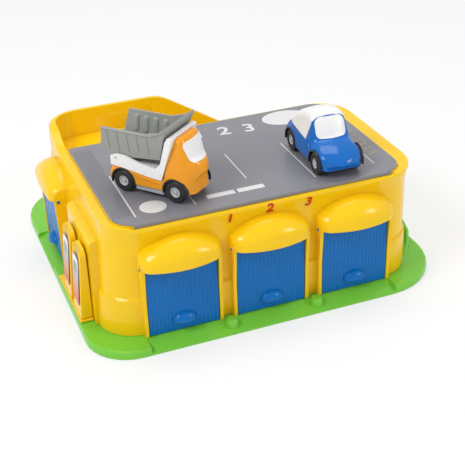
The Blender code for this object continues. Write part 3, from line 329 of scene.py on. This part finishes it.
# The parking deck is a grey printed card laid in the roof plate, with a tab
# folded over the wall. The print is white bay lines, bay numbers, plain ovals
# and bars, a dark tread strip along the left edge and a yellow hatch.
card = moulded("printed_card", (0.225, 0.225, 0.250), (0.205, 0.205, 0.230), 0.3)
eased("deck_card", "card_sheet", "garage", card, 0.18 * MM)
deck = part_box("deck_card")[1][2]
white_ink = moulded("white_print", (0.72, 0.72, 0.72), (0.66, 0.66, 0.66), 0.32)
dark_ink = moulded("dark_print", (0.12, 0.12, 0.135), (0.10, 0.10, 0.115), 0.32)
yellow_ink = moulded("yellow_print", (0.55, 0.45, 0.10), (0.50, 0.40, 0.08), 0.32)


# Flat outlines in millimetres, printed on the deck
def printed(name, outlines, ink, thickness=0.05 * MM):
    print_form = merged([
        skinned([[(x * MM, y * MM, z) for x, y in outline] for z in (deck, deck + thickness)])
        for outline in outlines
    ])
    fit_piece(name, print_form, ink, "garage")


def bar(x0, x1, y0, y1):
    return [(x0, y0), (x1, y0), (x1, y1), (x0, y1)]


def oval(x, y, across, along, steps=48):
    turns = [2 * math.pi * k / steps for k in range(steps)]
    return [(x + across * math.cos(turn), y + along * math.sin(turn)) for turn in turns]


BAY_LINES = (
    (-129.1, -143.8, -52.9), (-71.1, -142.9, -85), (-8.6, -113.2, -54.7),
    (53.1, -139.3, -54.7), (117.9, -136.6, -60),
)
LINE_HALF = 0.65
lines = [bar(x - LINE_HALF, x + LINE_HALF, start, end) for x, start, end in BAY_LINES]
lines += [bar(-57, -29, -138, -130.5), bar(-26, 1, -138, -130.5)]
printed("deck_bay_lines", lines, white_ink)
printed("deck_oval_rims", [oval(-108.8, -131.2, 13.4, 12.6), oval(84, 4, 27, 19)], dark_ink)
ovals = [oval(-108.8, -131.2, 12.9, 12.1), oval(84, 4, 26.2, 18.2)]
printed("deck_ovals", ovals, white_ink, 0.09 * MM)
TREAD_START = (-148.6, -140)
TREAD_PITCH = (2.1, 4.6)
TREAD_HALF = 0.45
TREAD_LONG = 3.1
tread = []
for k in range(9):
    x = TREAD_START[0] + TREAD_PITCH[0] * k
    for j in range(34):
        y = TREAD_START[1] + TREAD_PITCH[1] * j + (TREAD_PITCH[1] / 2 if k % 2 else 0)
        tread.append(bar(x - TREAD_HALF, x + TREAD_HALF, y, y + TREAD_LONG))
printed("deck_tread_strip", tread, dark_ink)
HATCH_START = -118
HATCH_PITCH = 11
hatch = []
for k in range(11):
    y = HATCH_START + HATCH_PITCH * k
    hatch.append([(122, y), (123.4, y), (134.4, y + 8), (133, y + 8)])
    hatch.append([(133, y + 1), (134.2, y + 1), (124.6, y + 7.4), (123.4, y + 7.4)])
printed("deck_hatch", hatch, yellow_ink)


# Numerals in the sign maker's plain bold face
def numerals(places, size, thickness, turn):
    cut = []
    for text, x, y, z in places:
        letter = bpy.data.curves.new("numeral", "FONT")
        letter.body = text
        letter.size = size
        letter.align_x = "CENTER"
        letter.extrude = thickness / 2
        letter.offset = size * 0.018
        stand_in = bpy.data.objects.new("numeral", letter)
        bpy.context.scene.collection.objects.link(stand_in)
        bpy.context.view_layer.update()
        shaped = stand_in.evaluated_get(bpy.context.evaluated_depsgraph_get())
        mesh = bpy.data.meshes.new_from_object(shaped)
        bpy.data.objects.remove(stand_in, do_unlink=True)
        mesh.transform(Matrix.Translation((x, y, z)) @ turn)
        cut.append(mesh)
    return merged(cut)


along_bays = Matrix.Rotation(math.radians(-7.4), 4, "Z")
bay_places = [
    ("1", -17 * MM, -6 * MM, deck), ("2", 10 * MM, -9.5 * MM, deck), ("3", 37 * MM, -13 * MM, deck)
]
bay_numbers = numerals(bay_places, 27 * MM, 0.1 * MM, along_bays)
fit_piece("deck_numerals", bay_numbers, white_ink, "garage")

# Each doorway has a canopy: a thick lip, a crease and a dome that runs back into
# the wall. It is a thin hollow form, open below where the door swings in.
FRONT_PLANE = -163.6
SIDE_PLANE = -174.5
FRONT_DOORS = (-95.4, -5.4, 84.6)
SIDE_DOOR = 38.6
CANOPY_HALF = 39.3
CANOPY_LOW = 84.5
CANOPY_CORNER = 8
CANOPY_END_RISE = 13
CANOPY_BOW_RISE = 14.5
CANOPY_STEPS = 48


def canopy_form(out, bow, back, inset, foot):
    rings = []
    for k in range(CANOPY_STEPS + 1):
        along = math.sin(math.radians(180 * k / CANOPY_STEPS - 90))
        x = along * (CANOPY_HALF - inset)
        into_corner = max(abs(along) * CANOPY_HALF - CANOPY_HALF + CANOPY_CORNER, 0) / CANOPY_CORNER
        reach = out * math.sqrt(max(1 - into_corner ** 2, 0)) + bow * (1 - along ** 2) - inset
        rise = CANOPY_END_RISE + CANOPY_BOW_RISE * (1 - along ** 2) - inset
        if inset > 0:
            section = [
                (back + 3, CANOPY_LOW - foot), (-reach, CANOPY_LOW - foot),
                (-reach, CANOPY_LOW + 4.2),
            ]
        else:
            section = [
                (back, CANOPY_LOW - 0.05), (-reach + 0.2, CANOPY_LOW - 0.05),
                (-reach - 0.35, CANOPY_LOW + 0.3), (-reach - 0.49, CANOPY_LOW + 1.2),
                (-reach - 0.49, CANOPY_LOW + 3.4), (-reach - 0.4, CANOPY_LOW + 4.4),
                (-reach + 0.1, CANOPY_LOW + 4.95),
            ]
        low = 5 - 0.6 * max(inset, 0)
        for angle in range(6, 91, 6):
            across, up = math.cos(math.radians(angle)), math.sin(math.radians(angle))
            section.append((back - (back + reach) * across, CANOPY_LOW + low + (rise - low) * up))
        if inset > 0:
            section[-1] = (back + 3, section[-1][1])
        rings.append([(x * MM, y * MM, z * MM) for y, z in section])
    return skinned(rings)


# Cuts one closed skin with others, as the tool's inserts do
def carved(solid, cutters, operation="DIFFERENCE"):
    blank = bpy.data.objects.new("blank", solid)
    bpy.context.scene.collection.objects.link(blank)
    tools = []
    for k, cutter in enumerate(cutters):
        tool = bpy.data.objects.new("insert_%d" % k, cutter)
        bpy.context.scene.collection.objects.link(tool)
        step = blank.modifiers.new("insert_%d" % k, "BOOLEAN")
        step.operation = operation
        step.solver = "EXACT"
        step.object = tool
        tools.append(tool)
    bpy.context.view_layer.update()
    shaped = blank.evaluated_get(bpy.context.evaluated_depsgraph_get())
    made = bpy.data.meshes.new_from_object(shaped)
    for item in [blank] + tools:
        bpy.data.objects.remove(item, do_unlink=True)
    return made


to_left = Matrix.Rotation(-math.pi / 2, 4, "Z")
canopies = [
    (Matrix.Translation((x * MM, FRONT_PLANE * MM, 0)), 8.4, 9.4, 8.0) for x in FRONT_DOORS
]
canopies.append(
    (Matrix.Translation((SIDE_PLANE * MM, SIDE_DOOR * MM, 0)) @ to_left, 6.2, 2.2, 12.8)
)
for number, (spot, out, bow, back) in enumerate(canopies, 1):
    outer = canopy_form(out, bow, back, -0.1, 0)
    cover = carved(outer, [canopy_form(out, bow, back, 1.3, 4)])
    cover.transform(spot)
    fit_piece("canopy_%d" % number, cover, yellow, "garage", (), 50)

# Red numerals stand on the swelling head of the front wall between the canopies.
# Each is laid on the wall's own curve, its back sunk in and its face just proud.
red_ink = moulded("red_print", (0.58, 0.022, 0.018), (0.54, 0.02, 0.016), 0.2)
BEFORE_WALL = -200 * MM
NUMERAL_PROUD = 0.7 * MM
NUMERAL_SUNK = 0.2 * MM
upright = Matrix.Rotation(math.pi / 2, 4, "X")
wall_places = [
    (text, x * MM, BEFORE_WALL, z * MM)
    for text, x, z in (("1", -44, 111), ("2", -4, 113.4), ("3", 36, 111))
]
marks = numerals(wall_places, 15.5 * MM, 1.2 * MM, upright)
wall_form = bmesh.new()
wall_form.from_mesh(nodes["wall_shell"].data)
wall_faces = BVHTree.FromBMesh(wall_form)
for corner in marks.vertices:
    is_face = corner.co.y < BEFORE_WALL
    start = Vector((corner.co.x, -250 * MM, corner.co.z))
    met = wall_faces.ray_cast(start, Vector((0, 1, 0)))[0]
    corner.co.y = met.y - (NUMERAL_PROUD if is_face else -NUMERAL_SUNK)
wall_form.free()
fit_piece("front_wall_numerals", marks, red_ink, "garage")

# Each door is one blue ABS flap with fine upright slats, a half-round pull and
# stub pins at its head that snap into the cheeks of the doorway
blue = moulded("blue_abs", (0.001, 0.150, 0.48), (0.001, 0.135, 0.44), 0.2, 0.22)
DOOR_SLATS = 18
SLAT_LINE = (
    (0.03, 0.62), (0.09, 0.84), (0.3, 0.9), (0.5, 0.92), (0.7, 0.9), (0.91, 0.84), (0.97, 0.62)
)
DOOR_HALF = 35.4 * MM
DOOR_BACK = 1.4 * MM
DOOR_FACE = -1.35 * MM
DOOR_HEAD = 1.2 * MM
PIN_LINE = ((-39.9, 1.3), (-39.4, 1.7), (39.4, 1.7), (39.9, 1.3))
PULL_HALF = 12.6 * MM
PULL_OUT = 7.6 * MM
PULL_FOOT = 10.2 * MM
PULL_STEPS = (0.0, 0.2, 0.4, 0.58, 0.74, 0.87, 0.95, 0.99, 0.999)
straight = Matrix.Identity(4)
doors = (
    ("front_door_1", straight), ("front_door_2", straight), ("front_door_3", straight),
    ("side_door", to_left),
)
hinges = {joint["child"]: joint for joint in frame["record"]["behaviour"]["joints"]}
for number, (node, turn) in enumerate(doors, 1):
    body = "door_%d" % number
    pivot = Vector(hinges[body]["pos_m"])
    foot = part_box(node)[0][2] - pivot.z
    outline = [(-DOOR_HALF, DOOR_BACK), (-DOOR_HALF, DOOR_FACE)]
    pitch = 2 * DOOR_HALF / DOOR_SLATS
    for k in range(DOOR_SLATS):
        outline += [
            (-DOOR_HALF + (k + share) * pitch, DOOR_FACE - out * MM) for share, out in SLAT_LINE
        ]
    outline += [(DOOR_HALF, DOOR_FACE), (DOOR_HALF, DOOR_BACK)]
    slats = skinned([[(x, y, z) for x, y in outline] for z in (foot, DOOR_HEAD)])
    round_pin = [(math.cos(math.pi * k / 12), math.sin(math.pi * k / 12)) for k in range(24)]
    pins = skinned([
        [(x * MM, radius * MM * along, radius * MM * up) for along, up in round_pin]
        for x, radius in PIN_LINE
    ])
    pull_rings = []
    for share in PULL_STEPS:
        bulge = math.sqrt(1 - share ** 2)
        y = DOOR_FACE - 0.2 * MM - share * PULL_OUT
        ring = []
        for k in range(36):
            around = math.radians(10 * k)
            rise = (9.2 if k <= 18 else 1.6) * MM * bulge * math.sin(around)
            ring.append((PULL_HALF * bulge * math.cos(around), y, foot + PULL_FOOT + rise))
        pull_rings.append(ring)
    door = merged([slats, pins, skinned(pull_rings)])
    door.transform(Matrix.Translation(pivot) @ turn)
    fit_piece(node + "_moulding", door, blue, body, (node,), 40)

# The wheels are chunky: a black tyre with round shoulders and a groove in its
# sidewall, pressed on a light grey hub with a dished face and a raised middle.
# Each pair is pressed on its own steel axle.
rubber = moulded("tyre_black", (0.016, 0.017, 0.018), (0.012, 0.012, 0.013), 0.38)
hub_grey = moulded("hub_grey", (0.47, 0.48, 0.49), (0.42, 0.43, 0.44), 0.24)
TYRE_LINE = (
    (5.5, 4.1), (6.0, 4.35), (7.2, 4.45), (7.6, 4.15), (8.0, 4.15), (8.4, 4.48), (9.4, 4.4),
    (10.3, 4.0), (10.9, 3.3), (11.15, 2.4), (11.2, 1.2), (11.2, -1.2), (11.15, -2.4),
    (10.9, -3.3), (10.3, -4.0), (9.4, -4.4), (7.6, -4.5), (5.5, -4.4),
)
HUB_LINE = (
    (0.0, 4.2), (1.2, 4.2), (1.7, 4.0), (1.9, 3.2), (2.2, 2.7), (3.4, 2.7), (3.9, 3.0),
    (4.2, 3.7), (4.6, 3.9), (5.0, 3.9), (5.2, 3.7), (5.2, -3.6), (1.7, -3.6), (1.7, 2.0),
    (0.0, 2.0),
)


def turned(line, middle, axle, steps=48):
    across = Vector((0, 0, 1)).cross(axle).normalized()
    form = bmesh.new()
    rows = []
    for k in range(steps):
        turn = 2 * math.pi * k / steps
        outwards = math.cos(turn) * across + math.sin(turn) * Vector((0, 0, 1))
        rows.append([
            form.verts.new(middle + outwards * radius * MM + axle * out * MM)
            for radius, out in line
        ])
    count = len(line) if line[0][0] > 0 else len(line) - 1
    for one, two in zip(rows, rows[1:] + rows[:1]):
        for k in range(count):
            nxt = (k + 1) % len(line)
            form.faces.new((one[k], one[nxt], two[nxt], two[k]))
    return closed_mesh(form, "turned")


# Where a vehicle stands: the middle of its rear axle over the deck, and its heading
DECK_TOP = 128.6


def parked(x, y, heading):
    spot = Matrix.Translation((x * MM, y * MM, DECK_TOP * MM))
    return spot @ Matrix.Rotation(math.radians(heading), 4, "Z")


truck_spot = parked(-107.8, -77.0, -50.2)
car_spot = parked(78.6, -74.8, -91.9)
for vehicle, spot in (("truck", truck_spot), ("car", car_spot)):
    sideways = (spot.to_3x3() @ Vector((0, 1, 0))).normalized()
    for end in ("front", "rear"):
        finish_node("%s_%s_axle" % (vehicle, end), steel)
        body = "%s_%s_wheels" % (vehicle, end)
        for side, sign in (("left", 1), ("right", -1)):
            wheel = "%s_%s_%s_" % (vehicle, end, side)
            low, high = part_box(wheel + "tyre")
            middle = (Vector(low) + Vector(high)) / 2
            tyre = turned(TYRE_LINE, middle, sideways * sign)
            fit_piece(wheel + "tyre_ring", tyre, rubber, body, (wheel + "tyre",), 50)
            hub = turned(HUB_LINE, middle, sideways * sign)
            fit_piece(wheel + "hub_disc", hub, hub_grey, body, (wheel + "hub",), 50)

# The tipping truck has an orange cab and body in one shell, a white cradle with
# a hoop behind the cab, and a grey bed that tips on a steel pin. The shell's
# stations give the distance from the rear axle, the roof's height and the half width.
orange = moulded("orange_abs", (0.84, 0.33, 0.008), (0.80, 0.30, 0.006), 0.13, 0.35)
white = moulded("white_abs", (0.84, 0.84, 0.84), (0.79, 0.79, 0.79), 0.2)
bed_grey = moulded("bed_grey", (0.315, 0.325, 0.305), (0.285, 0.295, 0.275), 0.33)
black = moulded("black_plastic", (0.018, 0.019, 0.020), (0.014, 0.015, 0.016), 0.3)
sill_grey = moulded("sill_grey", (0.36, 0.41, 0.47), (0.32, 0.37, 0.43), 0.3)
AXLE_HIGH = 11.2
TRUCK_WHEELBASE = 57
TRUCK_STATIONS = (
    (-15.5, 17.5, 19.5), (-14.5, 22, 21), (-12, 25, 21.5), (-8, 27.3, 21.5), (0, 28.5, 21.5),
    (8, 27.5, 21.5), (16, 25.5, 21.5), (30, 23.5, 21.5), (43, 22.5, 21.5), (46.5, 29.5, 21.5),
    (50, 45, 21.5), (54, 60, 21.5), (57.5, 62.5, 21.5), (62, 63.6, 21.5), (65.5, 60.5, 21.5),
    (70, 50.5, 21.2), (73, 43.5, 20.3), (76, 40, 18.4), (78.6, 36, 15.2), (80.2, 30, 11.6),
)
TRUCK_FORM = dict(
    stations=TRUCK_STATIONS, low=9.5, belt=30, tumble=0.12, crown=5, bow_from=57, bow=7.5, arch=0
)


# More stations between the given ones, on a smooth curve through them
def eased_stations(stations, between=4):
    fine = []
    for k in range(len(stations) - 1):
        a = stations[max(k - 1, 0)]
        b, c = stations[k], stations[k + 1]
        d = stations[min(k + 2, len(stations) - 1)]
        for j in range(between):
            t = j / between
            fine.append(tuple(
                0.5 * (
                    2 * q + (r - p) * t + (2 * p - 5 * q + 4 * r - u) * t ** 2
                    + (3 * q - p - 3 * r + u) * t ** 3
                )
                for p, q, r, u in zip(a, b, c, d)
            ))
    fine.append(stations[-1])
    return fine


# Body of a vehicle: upright below the belt, drawn in above it by the tumble, with
# rounded shoulders and a nose that bows round from the given station on
def body_skin(stations, low, belt, tumble, crown, bow_from, bow, arch, grow=0.0):
    rings = []
    fine = eased_stations(stations)
    for index, (s, high, half) in enumerate(fine):
        top_half = half - max(high - belt, 0) * tumble + grow
        side_half = half + grow
        roof = high + grow
        foot = low - grow
        ease = min(max((s - bow_from) / 16, 0), 1)
        r = min(crown + 5 * ease, (roof - foot) / 2.4)
        waist = min(belt, roof - r - 0.4)
        side = []
        for k in range(4):
            a = math.radians(30 * k)
            side.append((side_half - 1.5 + 1.5 * math.sin(a), foot + 1.5 - 1.5 * math.cos(a)))
        side += [(side_half, foot + (waist - foot) * 0.5), (side_half, waist)]
        side.append(((side_half + top_half) / 2 + 0.15, (waist + roof - r) / 2))
        for k in range(7):
            a = math.radians(15 * k)
            side.append((top_half - r + r * math.cos(a), roof - r + r * math.sin(a)))
        side.append(((top_half - r) * 0.5, roof + arch * 0.75))
        across = side + [(0.0, roof + arch)] + [(-t, z) for t, z in reversed(side)]
        shift = grow * (-1 if index == 0 else 1 if index == len(fine) - 1 else 0)
        rings.append([
            ((s + shift - bow * ease * (t / half) ** 2) * MM, t * MM, z * MM) for t, z in across
        ])
    return skinned(rings)


def drum(s, z, radius, t0, t1, steps=48):
    turns = [2 * math.pi * k / steps for k in range(steps)]
    return skinned([
        [
            ((s + radius * math.cos(turn)) * MM, t * MM, (z + radius * math.sin(turn)) * MM)
            for turn in turns
        ]
        for t in (t0, t1)
    ])


def side_plate(outline, t0, t1):
    return skinned([[(s * MM, t * MM, z * MM) for s, z in outline] for t in (t0, t1)])


def front_plate(outline, s0, s1):
    return skinned([[(s * MM, t * MM, z * MM) for t, z in outline] for s in (s0, s1)])


# A thin panel let into a body where the given plate crosses it
def let_in(form, plate, proud):
    panel = carved(body_skin(grow=proud, **form), [plate], "INTERSECT")
    return carved(panel, [body_skin(grow=-0.6, **form)])


# A body skin with its wheel rooms and the channel underneath cut out
WHEEL_ROOM = 12.7
CHANNEL_HALF = 8.3
CHANNEL_TOP = 16.3
CLEAR_OF_SIDE = 40
CLEAR_OF_TAIL = -60


def hollowed(form, wheelbase, room_start, channel_end):
    rooms = [
        drum(s, AXLE_HIGH, WHEEL_ROOM, sign * room_start, sign * CLEAR_OF_SIDE)
        for s in (0, wheelbase) for sign in (-1, 1)
    ]
    channel = bar(CLEAR_OF_TAIL, channel_end, -CHANNEL_HALF, CHANNEL_HALF)
    rooms.append(skinned([
        [(s * MM, t * MM, z * MM) for s, t in channel] for z in (-5, CHANNEL_TOP)
    ]))
    return carved(body_skin(**form), rooms)


# A black lip round each wheel arch
LIP_LINE = ((11.9, -1.5), (11.9, 0.35), (12.3, 0.6), (13.2, 0.6), (13.7, 0.3), (13.8, -1.5))


def arch_lips(wheelbase, half):
    lips = []
    for s in (0, wheelbase):
        for sign in (-1, 1):
            rings = []
            for k in range(25):
                a = math.radians(-12 + 8.5 * k)
                rings.append([
                    (
                        (s + r * math.cos(a)) * MM, sign * (half + out) * MM,
                        (AXLE_HIGH + r * math.sin(a)) * MM,
                    )
                    for r, out in LIP_LINE
                ])
            lips.append(skinned(rings))
    return merged(lips)


def fit_at(spot, name, mesh, material, body, stands_for=(), crisp=50):
    mesh.transform(spot)
    fit_piece(name, mesh, material, body, stands_for, crisp)


fit_at(
    truck_spot, "truck_shell", hollowed(TRUCK_FORM, TRUCK_WHEELBASE, 12.2, 68.3), orange,
    "truck", ("truck_body",), 42
)
SCREEN_LOW = 40.5
SCREEN_HIGH = 59.6
truck_glass = [
    (t * (0.80 + 0.20 * (z - SCREEN_LOW) / 19), z)
    for t, z in rounded_outline(-16, 16, SCREEN_LOW, SCREEN_HIGH, (4, 4, 5.5, 5.5))
]
fit_at(
    truck_spot, "truck_screen", let_in(TRUCK_FORM, front_plate(truck_glass, 58, 95), 0.45),
    white, "truck", ("truck_windscreen",)
)
truck_lips = arch_lips(TRUCK_WHEELBASE, 21.5)
fit_at(truck_spot, "truck_arch_lips", truck_lips, black, "truck")
eased("truck_cradle", "truck_white_cradle", "truck", white, 0.55 * MM)
finish_node("truck_chassis", sill_grey)
finish_node("truck_bed_pin", steel)

# The bed is a grey trough with a rolled rim, moulded in one with thin upright
# ribs outside both side walls and rounded ribs inside them
eased("truck_bed", "truck_grey_bed", "truck_bed", bed_grey, 0.6 * MM)
BED_RIM_HALF = 26
BED_RIM_HIGH = 75.5
BED_LEAN = 0.17
OUTER_RIBS = (-13, -2, 9, 20, 31)
INNER_RIBS = (-9, 2, 13, 24)
RIM_LINE = (
    (-21, 65), (-18, 65), (-2, 65.2), (14, 65.3), (29, 65.6), (38, 67), (45, 70), (52, 74.6),
    (53, 75),
)


def bed_wall(z):
    return BED_RIM_HALF - (BED_RIM_HIGH - z) * BED_LEAN


# A round rib that stands off a bed wall by the given reach, from foot to head
def bed_rib(s, sign, foot, head, width, depth, reach):
    rings = []
    for share in (0, 0.04, 0.12, 0.3, 0.5, 0.7, 0.88, 0.96, 1):
        z = foot + (head - foot) * share
        swell = min(1, math.sqrt(max(1 - (2 * share - 1) ** 8, 0)) + 0.05)
        rings.append([
            (
                (s + width * swell * math.cos(math.pi * k / 10)) * MM,
                sign * (bed_wall(z) + depth + reach * swell * math.sin(math.pi * k / 10)) * MM,
                z * MM,
            )
            for k in range(11)
        ])
    return skinned(rings)


ribs = []
for sign in (-1, 1):
    for s in OUTER_RIBS:
        ribs.append(bed_rib(s, sign, 42 if s < 15 else 44, 64, 0.55, -0.1, 0.75))
    for s in INNER_RIBS:
        ribs.append(bed_rib(s, sign, 44.5, 62, 3.3, -1.6, -1.9))
    rings = []
    for s, z in eased_stations(RIM_LINE)[4:-4]:
        rings.append([
            (
                s * MM, sign * (bed_wall(z) - 0.7 + 1.35 * math.cos(math.pi * k / 8)) * MM,
                (z - 1.1 + 1.25 * math.sin(math.pi * k / 8)) * MM,
            )
            for k in range(16)
        ])
    ribs.append(skinned(rings))
fit_at(
    truck_spot, "truck_bed_ribs", merged(ribs), bed_grey, "truck_bed", (), 60
)

# The small car is a blue shell with a white upper part let into it, and a plain
# white windscreen inside a blue frame. It has the same stations as the truck.
car_blue = moulded("car_blue_abs", (0.0, 0.135, 0.50), (0.0, 0.12, 0.46), 0.12, 0.35)
CAR_WHEELBASE = 60
CAR_STATIONS = (
    (-16, 17, 18), (-15.2, 23, 20.5), (-12.5, 28.5, 22.3), (-7, 35, 23.2), (0, 41, 23.2),
    (9, 47, 23.2), (18, 51, 23.2), (27, 53.4, 23.2), (34, 53.8, 23.2), (39, 52, 23.2),
    (44, 46, 23.2), (48.5, 37.5, 23.2), (52.5, 30.5, 23.2), (60, 28.5, 23.2), (68, 26, 23),
    (75, 22.5, 22), (80, 18, 19.6), (82.5, 14, 16),
)
CAR_FORM = dict(
    stations=CAR_STATIONS, low=8.5, belt=24, tumble=0.2, crown=9, bow_from=40, bow=6.5, arch=0.8
)
WHITE_TOP = ((37.5, 28), (41, 52), (41, 62), (-15, 62), (-15, 32))
car_glass = rounded_outline(-15.5, 15.5, 31.5, 50, (4, 4, 7, 7))
fit_at(
    car_spot, "car_shell", hollowed(CAR_FORM, CAR_WHEELBASE, 13.3, 70.3), car_blue,
    "car", ("car_body",), 42
)
fit_at(
    car_spot, "car_white_top", let_in(CAR_FORM, side_plate(WHITE_TOP, -40, 40), 0.35),
    white, "car", ("car_window_left", "car_window_right")
)
fit_at(
    car_spot, "car_screen", let_in(CAR_FORM, front_plate(car_glass, 36, 90), 0.45),
    white, "car", ("car_windscreen",)
)
car_lips = arch_lips(CAR_WHEELBASE, 23.2)
fit_at(car_spot, "car_arch_lips", car_lips, black, "car")
finish_node("car_chassis", black)

# The camera stands where the photographer's did, above the left front corner,
# on a full-frame body with a short telephoto lens
camera = bpy.data.objects.new("camera", bpy.data.cameras.new("camera"))
bpy.context.scene.collection.objects.link(camera)
azimuth, elevation, roll = (math.radians(a) for a in (-20.26, 29.91, -2.13))
backwards = Vector((
    math.sin(azimuth) * math.cos(elevation), -math.cos(azimuth) * math.cos(elevation),
    math.sin(elevation),
))
right = (-backwards).cross(Vector((0, 0, 1))).normalized()
upward = right.cross(-backwards)
turned_right = math.cos(roll) * right + math.sin(roll) * upward
turned_up = math.cos(roll) * upward - math.sin(roll) * right
camera.matrix_world = Matrix.Translation((-0.328515, -0.93583, 0.57578)) @ Matrix(
    (turned_right, turned_up, backwards)
).transposed().to_4x4()
camera.data.sensor_width = 36
camera.data.lens = 79.1
camera.data.clip_start = 0.01
bpy.context.scene.camera = camera


# The floor is pale studio paper that keeps the object's shadow, under a plain
# white room with three soft lamps
def seen_directly(tree):
    path = tree.nodes.new("ShaderNodeLightPath")
    total = path.outputs["Is Camera Ray"]
    for ray in ("Is Glossy Ray", "Is Transmission Ray"):
        both = tree.nodes.new("ShaderNodeMath")
        both.operation = "ADD"
        both.use_clamp = True
        tree.links.new(total, both.inputs[0])
        tree.links.new(path.outputs[ray], both.inputs[1])
        total = both.outputs[0]
    return total


FLOOR_HALF = 4.0
floor_corners = bar(-FLOOR_HALF, FLOOR_HALF, -FLOOR_HALF, FLOOR_HALF)
floor_mesh = bpy.data.meshes.new("floor")
floor_mesh.from_pydata([(x, y, 0) for x, y in floor_corners], [], [(0, 1, 2, 3)])
floor =bpy.data.objects.new("floor", floor_mesh)
bpy.context.scene.collection.objects.link(floor)
floor.location.z = -0.2 * MM
paper = bpy.data.materials.new("floor_paper")
paper.use_nodes = True
tree = paper.node_tree
matt = tree.nodes["Principled BSDF"]
matt.inputs["Base Color"].default_value = (0.86, 0.86, 0.86, 1)
matt.inputs["Roughness"].default_value = 0.9
matt.inputs["Specular IOR Level"].default_value = 0.1
glow = tree.nodes.new("ShaderNodeEmission")
glow.inputs["Strength"].default_value = 1.0
part = tree.nodes.new("ShaderNodeMath")
part.operation = "MULTIPLY"
part.inputs[1].default_value = 0.55
blend = tree.nodes.new("ShaderNodeMixShader")
tree.links.new(seen_directly(tree), part.inputs[0])
tree.links.new(part.outputs[0], blend.inputs["Fac"])
tree.links.new(matt.outputs[0], blend.inputs[1])
tree.links.new(glow.outputs[0], blend.inputs[2])
tree.links.new(blend.outputs[0], tree.nodes["Material Output"].inputs["Surface"])
floor_mesh.materials.append(paper)

world = bpy.data.worlds.new("studio")
bpy.context.scene.world = world
world.use_nodes = True
sky = world.node_tree
room = sky.nodes["Background"]
room.inputs["Color"].default_value = (1, 1, 1, 1)
room.inputs["Strength"].default_value = 0.62
seen = sky.nodes.new("ShaderNodeBackground")
seen.inputs["Strength"].default_value = 1.0
pick = sky.nodes.new("ShaderNodeMixShader")
sky.links.new(seen_directly(sky), pick.inputs["Fac"])
sky.links.new(room.outputs[0], pick.inputs[1])
sky.links.new(seen.outputs[0], pick.inputs[2])
sky.links.new(pick.outputs[0], sky.nodes["World Output"].inputs["Surface"])


def softbox(name, place, aim, size, watts):
    lamp = bpy.data.lights.new(name, "AREA")
    lamp.shape = "RECTANGLE"
    lamp.size, lamp.size_y = size
    lamp.energy = watts
    stand = bpy.data.objects.new(name, lamp)
    bpy.context.scene.collection.objects.link(stand)
    stand.location = place
    stand.rotation_euler = (Vector(aim) - Vector(place)).to_track_quat("-Z", "Y").to_euler()


softbox("key_light", (-1.3, -0.5, 1.5), (0, 0, 0.05), (0.8, 0.6), 16)
softbox("fill_light", (1.2, -1.2, 0.9), (0, 0, 0.05), (0.5, 0.5), 6)
softbox("top_light", (0.1, 0.4, 1.9), (0, 0, 0), (1.2, 0.9), 10)

bpy.context.scene.view_settings.view_transform = "Standard"
